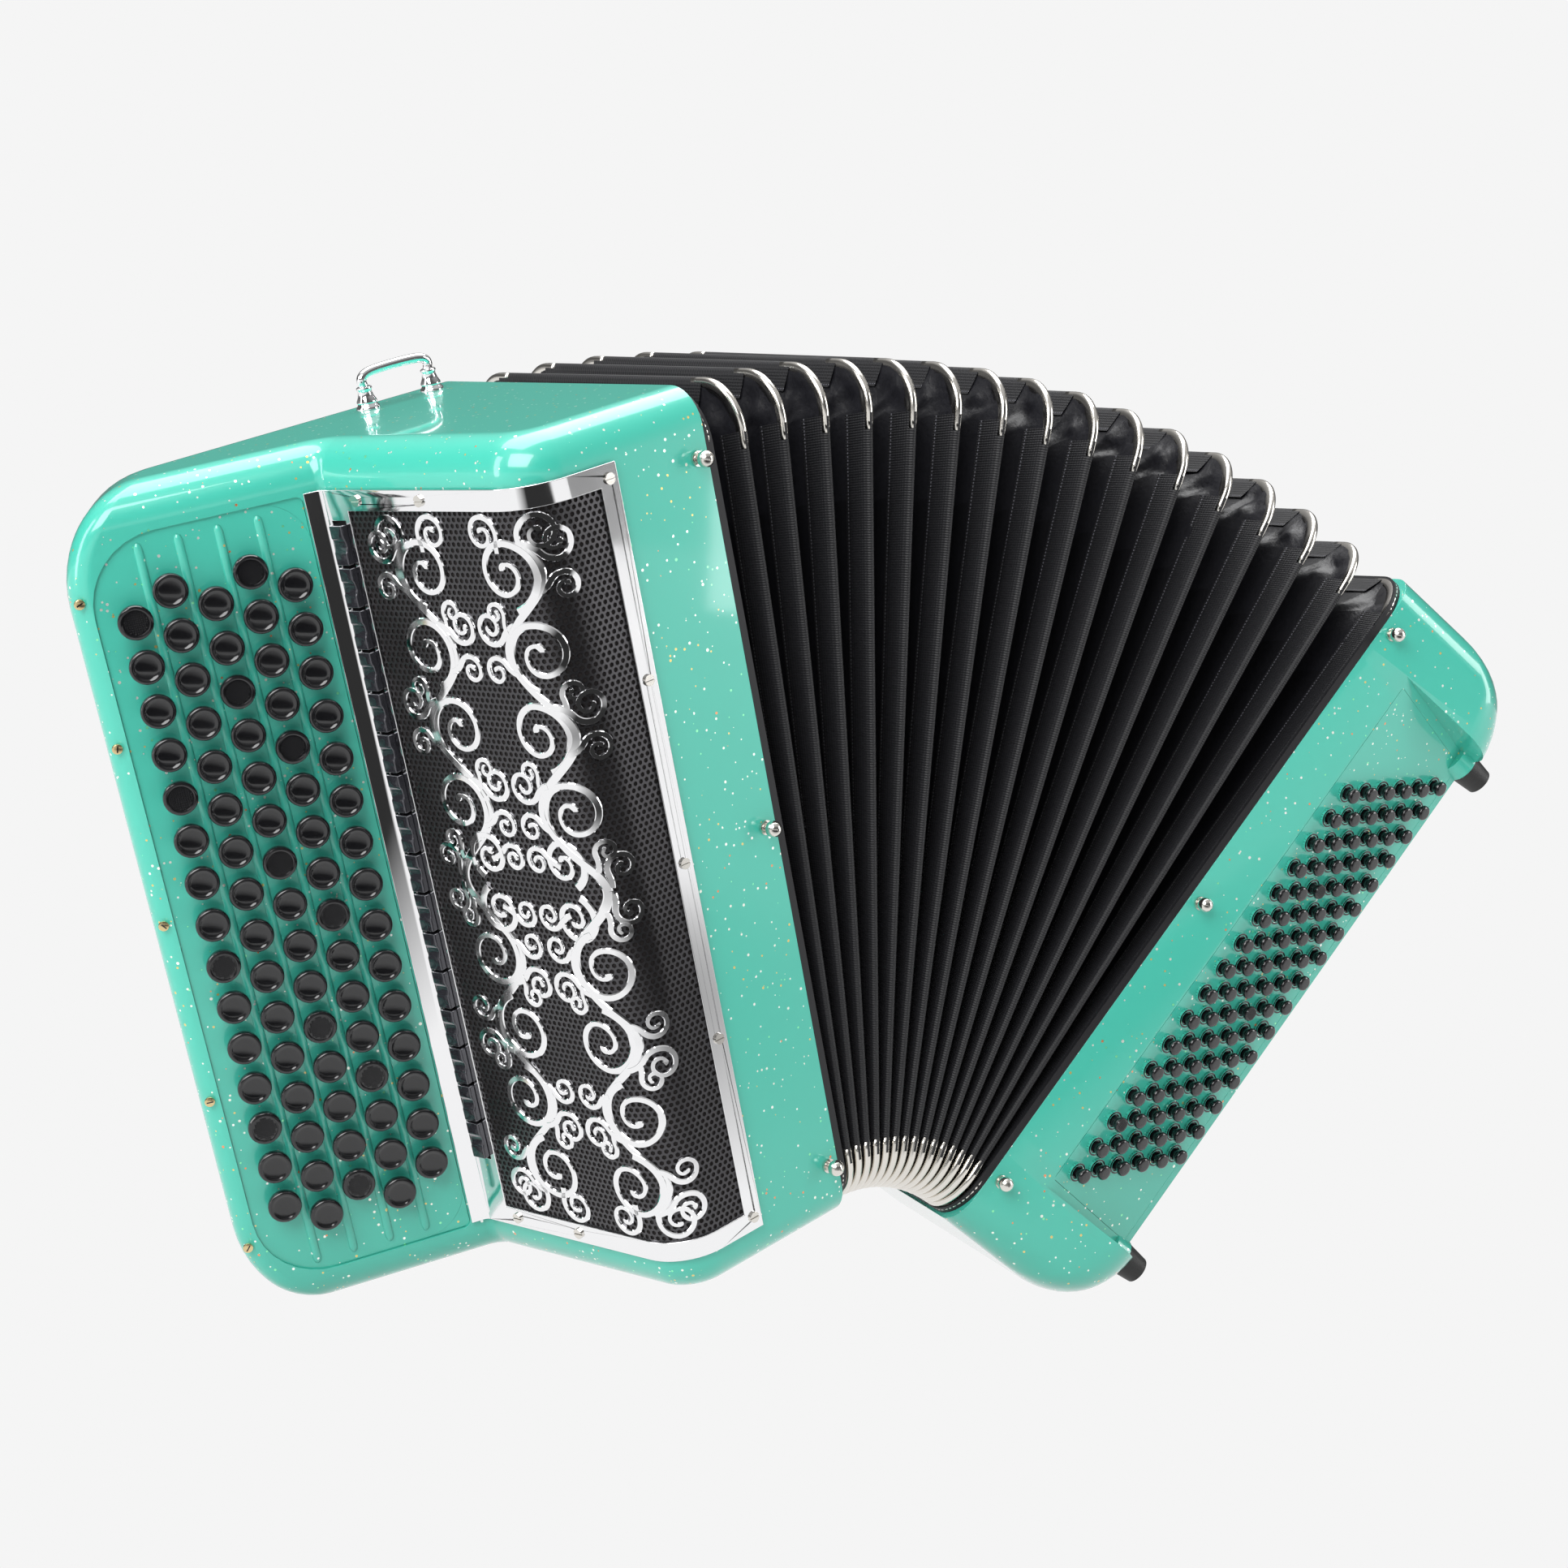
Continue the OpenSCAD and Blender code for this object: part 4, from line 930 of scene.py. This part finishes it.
def tape_rows(k, s, idx):
    """Rows of tape down one face of the fold, from its edge up: (depth, points)."""
    if not 0 <= k + s <= N_RINGS:
        return [(RIDGE_D, [Vector((s * 1.7, *local_loop(RIDGE_D)[j])) for j in idx])]
    rows = []
    for f in (TAPE_EDGE * 1.02, TAPE_EDGE, TAPE_EDGE * 0.66, TAPE_EDGE * 0.33, 0.02):
        lift = 0.02 if f > TAPE_EDGE else TAPE_LIFT
        row = []
        for j in idx:
            p, valley = face_point(k, s, f, j)
            p.x += s * (lift - sin(pi * f) * BULGE * abs(valley.x))
            row.append(p)
        rows.append((RIDGE_D + FACE_DEPTH * f, row))
    return rows


def tape_strips(k, shape, values):
    """Tape over the ridge, down both faces of the fold; values takes (along, depth) per vertex."""
    outer = local_loop(0.0)
    runs, total = straight_runs()
    for first, last in runs:
        idx = [j % total for j in range(first, last + 1)]
        over = [(abs(x), [Vector((x, *local_loop(d)[j])) for j in idx]) for x, d in TAPE_RIDGE]
        rows = tape_rows(k, -1, idx) + over + tape_rows(k, 1, idx)[::-1]
        shape.add([v for _, row in rows for v in row], grid_faces(len(rows), len(idx)), RINGS[k])
        for depth, _ in rows:
            run = 0.0
            for a, j in enumerate(idx):
                if a:
                    p, q = outer[idx[a - 1]], outer[j]
                    run += hypot(q[0] - p[0], q[1] - p[1])
                values.append((run * MM, depth * MM))


CAP = [(-1.62, 5.6), (-1.78, 3.4), (-1.74, 1.6), (-1.4, 0.5), (-0.75, 0.08), (0.0, 0.0),
       (0.75, 0.08), (1.4, 0.5), (1.74, 1.6), (1.78, 3.4), (1.62, 5.6)]
CAP_LEG = 7.0


def corner_caps(k, shape):
    """Polished U-section caps over the four corners of ring k."""
    r = RING_R
    for sy in (-1, 1):
        for top in (0, 1):
            cy, cz = sy * (HALF - r), r + top * (RING_LEN - 2 * r)
            sz = 1 if top else -1
            line = [((sy, 0), (cy, cz - sz * CAP_LEG)), ((sy, 0), (cy, cz - sz * CAP_LEG / 2))]
            for i in range(17):
                a = radians(90 * i / 16)
                line.append(((sy * cos(a), sz * sin(a)), (cy, cz)))
            line += [((0, sz), (cy - sy * CAP_LEG / 2, cz)), ((0, sz), (cy - sy * CAP_LEG, cz))]
            verts = []
            for (ny, nz), (y, z) in line:
                for x, d in CAP:
                    verts.append((x, y + ny * (r - d), z + nz * (r - d)))
            shape.add(verts, grid_faces(len(line), len(CAP)), RINGS[k])


def bellows():
    for k in range(N_RINGS + 1):
        body = "treble_body" if k == 0 else "bass_body" if k == N_RINGS else "bellows_fold_%d" % k
        pleats = Shape()
        for side in (-1, 1):
            if 0 <= k + side <= N_RINGS:
                half_pleat(k, side, pleats, 1, 0)
        cloth = make("bellows_pleats_%d" % k, pleats, [PLEAT, LEATHER], crease=70, fix_normals=False)
        tape, values = Shape(), []
        tape_strips(k, tape, values)
        strips = make("bellows_tape_%d" % k, tape, [TAPE], crease=70, fix_normals=False)
        for at, name in enumerate(("along", "depth")):
            a = strips.data.attributes.new(name, "FLOAT", "POINT")
            a.data.foreach_set("value", [v[at] for v in values])
        caps = Shape()
        corner_caps(k, caps)
        metal = make("bellows_corners_%d" % k, caps, [NICKEL], crease=70)
        solid = metal.modifiers.new("thick", "SOLIDIFY")
        solid.thickness, solid.offset = 0.35 * MM, -1
        cad = ["bellows_ring_%d" % k] if 0 < k < N_RINGS else []
        dress(cloth, body, "bellows_pleats", *(["bellows_skin"] if k == 8 else []))
        dress(strips, body, "bellows_tape", *cad)
        dress(metal, body, "nickel_pins")
        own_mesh(cloth)
        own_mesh(strips)


# ---- small parts
def tube(shape, pts, r, into, n=16):
    """Round bar along points."""
    verts = []
    up = Vector((0, 1, 0))
    for i, p in enumerate(pts):
        a, b = Vector(pts[max(i - 1, 0)]), Vector(pts[min(i + 1, len(pts) - 1)])
        t = (b - a).normalized()
        u = up.cross(t).normalized()
        w = t.cross(u)
        for j in range(n):
            c = 2 * pi * j / n
            verts.append(Vector(p) + (u * cos(c) + w * sin(c)) * r)
    shape.add(verts, closed_faces(n, len(pts)), into)


POST = [(0, -1), (5.1, -1), (5.3, 0.2), (5.1, 1.0), (4.4, 1.7), (4.1, 2.4), (4.5, 3.0), (4.4, 3.6),
        (3.5, 5.4), (3.0, 7.4), (3.2, 8.4), (3.5, 8.8), (3.4, 9.4), (2.7, 9.8), (0, 9.8)]
BOW_X, BOW_Y = (-52.0, -18.0), 70.0
BAIL = [(0, 9.0), (0.2, 10.2), (0.5, 11.6), (0.2, 13.2), (-1.6, 14.6), (-4.6, 15.4), (-9, 15.75),
        (-17, 15.9)]
BAIL_R = 2.15


def strap_bow(end):
    """Turned posts with a bail over them that swells out a little before it turns in."""
    shape = Shape()
    into = TREBLE @ Matrix.Translation((0, 0, Z_HI)) if end > 0 \
        else TREBLE @ Matrix.Translation((0, 0, Z_LO)) @ Matrix.Scale(-1, 4, (0, 0, 1))
    for x in BOW_X:
        shape.add(*lathe(POST, 36), into=into @ Matrix.Translation((x, BOW_Y, 0)))
    x0, x1 = BOW_X
    pts = [(x0 - u, BOW_Y, h) for u, h in BAIL] + [(x1 + u, BOW_Y, h) for u, h in reversed(BAIL[:-1])]
    smooth_pts = []
    for i in range(len(pts) - 1):
        a, b, c, d = [Vector(pts[min(max(i + k, 0), len(pts) - 1)]) for k in (-1, 0, 1, 2)]
        for f in (0, 0.25, 0.5, 0.75):
            smooth_pts.append(0.5 * (2 * b + (c - a) * f + (2 * a - 5 * b + 4 * c - d) * f * f
                                     + (3 * b - a - 3 * c + d) * f ** 3))
    tube(shape, smooth_pts + [Vector(pts[-1])], BAIL_R, into)
    name = "top" if end > 0 else "bottom"
    obj = make("strap_bow_%s_turned" % name, shape, [CHROME])
    dress(obj, "treble_body", "chrome_trim", "strap_bow_%s" % name)


SCREW = [(0, -0.4), (2.3, -0.4), (2.4, 0.1), (2.2, 0.55), (1.5, 0.85), (0, 0.95)]
KEY_SCREW_Z = (331, 269, 190, 108, 37)


def slotted_screw(shape, into, r_scale=1.0, turn=0.0):
    """Domed head whose slot is painted shade: a black box level with the dome in place of a cut groove.
    """
    at = into @ OUTWARD @ Matrix.Rotation(turn, 4, "Z")
    shape.add(*lathe([(r * r_scale, h) for r, h in SCREW], 28), into=at)
    w, length = 0.28, 2.0 * r_scale
    # painted shade: the slot is a black box that stands in for the shade inside a groove
    slot_shade_box = [(sx * a, sy * w, h) for a, h in ((length, 0.3), (length * 0.7, 0.99))
           for sx, sy in SQUARE]
    shape.add(slot_shade_box, [(0, 1, 5, 4), (1, 2, 6, 5), (2, 3, 7, 6), (3, 0, 4, 7), (4, 5, 6, 7)], at, mat=1)


def key_corners():
    """The plate's square corners beside the grille."""
    shape = Shape()
    x0, r = 57.3, 20
    for top, sign in ((PLATE_Z1, 1), (PLATE_Z0, -1)):
        outline = [(PLATE_X1 - 0.2, top - 0.2 * sign), (x0 - 0.3, top - 0.2 * sign)]
        for a in (radians(9 * i) for i in range(11)):
            outline.append((x0 + r * sin(a), top - sign * r + sign * (r - 0.1) * cos(a)))
        outline = outline[::sign]
        shape.add([(x, y, z) for y in (0.02, 2.9) for x, z in outline], closed_faces(len(outline)), KEY)
    dress(make("keyboard_corners", shape, [LACQUER]), "treble_body", "turquoise_lacquer")


def key_ridges():
    """Half-round ridges between the rows, from end to end of the plate."""
    shape = Shape()
    steps = 10
    for i in range(4):
        x = (i + 0.5) * ROW_PITCH
        rows = []
        for z, q in ((20, 0.3), (20.8, 0.75), (22.5, 1), (347.5, 1), (349.2, 0.75), (350, 0.3)):
            turns = [pi * k / steps for k in range(steps + 1)]
            rows += [(x + 1.9 * q * cos(a), 0.05 - 1.35 * q * sin(a), z) for a in turns]
        shape.add(rows, grid_faces(6, steps + 1), KEY)
    dress(make("keyboard_ridges", shape, [LACQUER], crease=60), "treble_body", "turquoise_lacquer")


def key_screws():
    shape = Shape()
    for i, z in enumerate(KEY_SCREW_Z):
        slotted_screw(shape, KEY @ Matrix.Translation((-19.5, -1.2, z)), 0.95, 0.4 + i * 0.9)
    # the second material, the buttons' black, is painted shade in the screw slots
    dress(make("keyboard_screws", shape, [BRASS, BUTTON_BLACK]), "treble_body", "brass_screws")


def hand_strap():
    """Leather strap that stands off the outer end, its edges a little raised."""
    radius = (STRAP_HALF ** 2 + STRAP_BULGE ** 2) / (2 * STRAP_BULGE)
    shape = Shape()
    x0 = BASS_W - 4 + STRAP_BULGE - radius
    span = atan2(STRAP_HALF, radius - STRAP_BULGE)
    section = [(-0.2, 3), (0, 0.6), (0.15, -0.1), (0.5, -0.3), (1.2, 0.0), (3.0, 0.25), (10, 0.5),
               (27.5, 0.6), (45, 0.5), (52, 0.25), (53.8, 0.0), (54.5, -0.3), (54.85, -0.1), (55, 0.6),
               (55.2, 3)]
    n = 61
    verts = []
    for i in range(n):
        a = -span + 2 * span * i / (n - 1)
        for w, drop in section:
            r = radius - 0.6 + drop * -0.9 if drop < 2 else radius - 2.9
            y = min(max(w, 0), STRAP_WIDTH) - 10
            verts.append((x0 + r * cos(a), y, RING_LEN / 2 + r * sin(a)))
    shape.add(verts, grid_faces(n, len(section), wrap=True), BASS)
    strap = make("hand_strap_leather", shape, [STRAP], crease=60)
    dress(strap, "bass_body", "strap_leather", "hand_strap")


def cad_tree():
    """Welds a CAD node's mesh and keeps only its real edges sharp."""
    t, given, result = start_group("weld_and_shade", "Geometry",
                                   {"Geometry": "Geometry", "Angle": 0.55}, {"Geometry": "Geometry"})
    weld = node(t, "MergeByDistance", {"Geometry": given["Geometry"], "Distance": 1e-6})
    soft = node(t, "SetShadeSmooth", {"Geometry": weld.outputs[0], "Shade Smooth": True}, domain="FACE")
    angle = node(t, "InputMeshEdgeAngle")
    sharp = node(t, "FunctionNodeCompare", {0: angle.outputs[0], 1: given["Angle"]},
                 operation="GREATER_THAN")
    hard = node(t, "SetShadeSmooth",
                {"Geometry": soft.outputs[0], "Selection": sharp.outputs[0], "Shade Smooth": False},
                domain="EDGE")
    t.links.new(hard.outputs[0], result["Geometry"])
    return t


CAD_SHADE = cad_tree()
CAD_LOOKS = {       # the solids that show as they are: material and rounding in mm; the rest is wood
    "keyboard_plate": (LACQUER, 0), "bass_button_panel": (LACQUER, 0), "grille_frame": (CHROME, 0.3),
    "register_switches": (DARK_MIRROR, 0.6), "grille_screws": (NICKEL, 0), "pallet_axles": (STEEL, 0),
    "bellows_pins_treble": (NICKEL, 0), "bellows_pins_bass": (NICKEL, 0), "rubber_feet": (RUBBER, 1.2),
    "strap_wheel": (PLASTIC, 0), "air_button": (BUTTON_BLACK, 0.4), "bellows_frame_treble": (TAPE, 0),
    "bellows_frame_bass": (TAPE, 0), "treble_reed_plates": (ALUMINIUM, 0),
    "bass_reed_plates": (ALUMINIUM, 0)}


def dress_cad():
    for name, obj in frame["nodes"].items():
        look, bevel = CAD_LOOKS.get(name, (WOOD, 0))
        obj.data.materials.clear()
        obj.data.materials.append(look)
        obj.modifiers.new("shade", "NODES").node_group = CAD_SHADE
        if bevel:
            round_edges(obj, bevel, 3, 30, weighted=False)


# ---- the instrument
treble_case()
bass_case()
treble_rows()
bass_rows()
mesh_sheet()
scrollwork()
bellows()
strap_bow(1)
strap_bow(-1)
key_corners()
key_ridges()
key_screws()
hand_strap()
dress_cad()


# ---- stage, light, camera
BACKDROP = 0.913
FLOOR_HALF, FLOOR_Z = 6.0, -0.0005      # metres
FLAG_X, FLAG_Y = -0.35, -0.95           # middle of the dark flag that only the polish sees
FLAG_NEAR, FLAG_FAR = 0.55, 0.8


def backdrop():
    """Plain pale floor for the camera; the polish sees it as a bright one with a dark flag in front."""
    floor = Shape()
    floor.add([(x * FLOOR_HALF, y * FLOOR_HALF, FLOOR_Z) for x, y in SQUARE], [(0, 1, 2, 3)])
    m, t, p = material("pale_floor", (0.8, 0.8, 0.8), Roughness=0.9)
    path = node(t, "LightPath")
    place = node(t, "SeparateXYZ", {0: object_place(t)})
    off = node(t, "CombineXYZ", {
        0: math(t, "MULTIPLY", math(t, "ADD", place.outputs[0], -FLAG_X), 0.8),
        1: math(t, "ADD", place.outputs[1], -FLAG_Y)})
    away = node(t, "VectorMath", {0: off.outputs[0]}, operation="LENGTH").outputs["Value"]
    flag = node(t, "MapRange", {"Value": away, "From Min": FLAG_NEAR, "From Max": FLAG_FAR,
                                "To Min": 0.03, "To Max": 0.95})
    mirrored = node(t, "Emission", {"Strength": flag.outputs[0]})
    seen = node(t, "Emission", {"Color": (1, 1, 1, 1), "Strength": BACKDROP})
    one = node(t, "MixShader", {0: path.outputs["Is Glossy Ray"], 1: p.outputs[0],
                                2: mirrored.outputs[0]})
    two = node(t, "MixShader", {0: path.outputs["Is Camera Ray"], 1: one.outputs[0],
                                2: seen.outputs[0]})
    t.links.new(two.outputs[0], t.nodes["Material Output"].inputs["Surface"])
    obj = make("floor", floor, [m], fix_normals=False)


def studio():
    """The world: pale for the camera, graded from floor to ceiling for light and polish."""
    world = bpy.data.worlds.new("studio")
    bpy.context.scene.world = world
    world.use_nodes = True
    t = world.node_tree
    back = t.nodes["Background"]
    way = node(t, "TexCoord").outputs["Generated"]
    z = node(t, "SeparateXYZ", {0: way}).outputs[2]
    ramp = node(t, "ValToRGB", {0: math(t, "ADD", math(t, "MULTIPLY", z, 0.5), 0.5)})
    greys = ((0.0, 0.35), (0.5, 0.3), (0.56, 0.12), (0.7, 0.1), (0.84, 0.45), (1.0, 0.6))
    set_stops(ramp.color_ramp, [(at, (v, v, v)) for at, v in greys])
    eye = node(t, "LightPath").outputs["Is Camera Ray"]
    sky = mix_colour(t, eye, ramp.outputs[0], (BACKDROP, BACKDROP, BACKDROP, 1))
    t.links.new(sky, back.inputs["Color"])


def area(name, place, target, size, power):
    light = bpy.data.lights.new(name, "AREA")
    light.shape, light.size, light.size_y = "RECTANGLE", size[0], size[1]
    light.energy = power
    obj = bpy.data.objects.new(name, light)
    obj.location = place
    obj.rotation_euler = (Vector(target) - Vector(place)).to_track_quat("-Z", "Y").to_euler()
    bpy.context.scene.collection.objects.link(obj)


CAMERA_PLACE = Vector((-655.8, -928.6, 539.8))
CAMERA_RIGHT = Vector((0.73635, -0.65486, -0.17017))
CAMERA_FORWARD = Vector((0.59293, 0.74569, -0.30394))
FOCAL_PX, FRAME_PX, SENSOR = 3261.18, 1932, 36


def camera():
    data = bpy.data.cameras.new("camera")
    data.sensor_width = SENSOR
    data.lens = FOCAL_PX / FRAME_PX * SENSOR
    data.clip_end = 200
    obj = bpy.data.objects.new("camera", data)
    turn = TREBLE.to_3x3().normalized()
    right = (turn @ CAMERA_RIGHT).normalized()
    ahead = (turn @ CAMERA_FORWARD).normalized()
    up = right.cross(ahead).normalized()
    m = Matrix((right, up, -ahead)).transposed().to_4x4()
    m.translation = TREBLE @ CAMERA_PLACE
    obj.matrix_world = m
    bpy.context.scene.collection.objects.link(obj)
    bpy.context.scene.camera = obj


backdrop()
studio()
area("key", (-2.0, -0.9, 1.5), (0, 0, 0.2), (1.7, 1.5), 52)
area("top", (0.0, 0.3, 2.1), (0, 0, 0.2), (2.6, 1.3), 50)
area("fill", (1.8, -1.7, 0.9), (0, 0, 0.2), (0.9, 1.6), 22)
area("side_strip", (-1.7, 0.5, 0.5), (0, 0, 0.2), (0.35, 1.6), 9)
camera()
bpy.context.scene.view_settings.view_transform = "Standard"
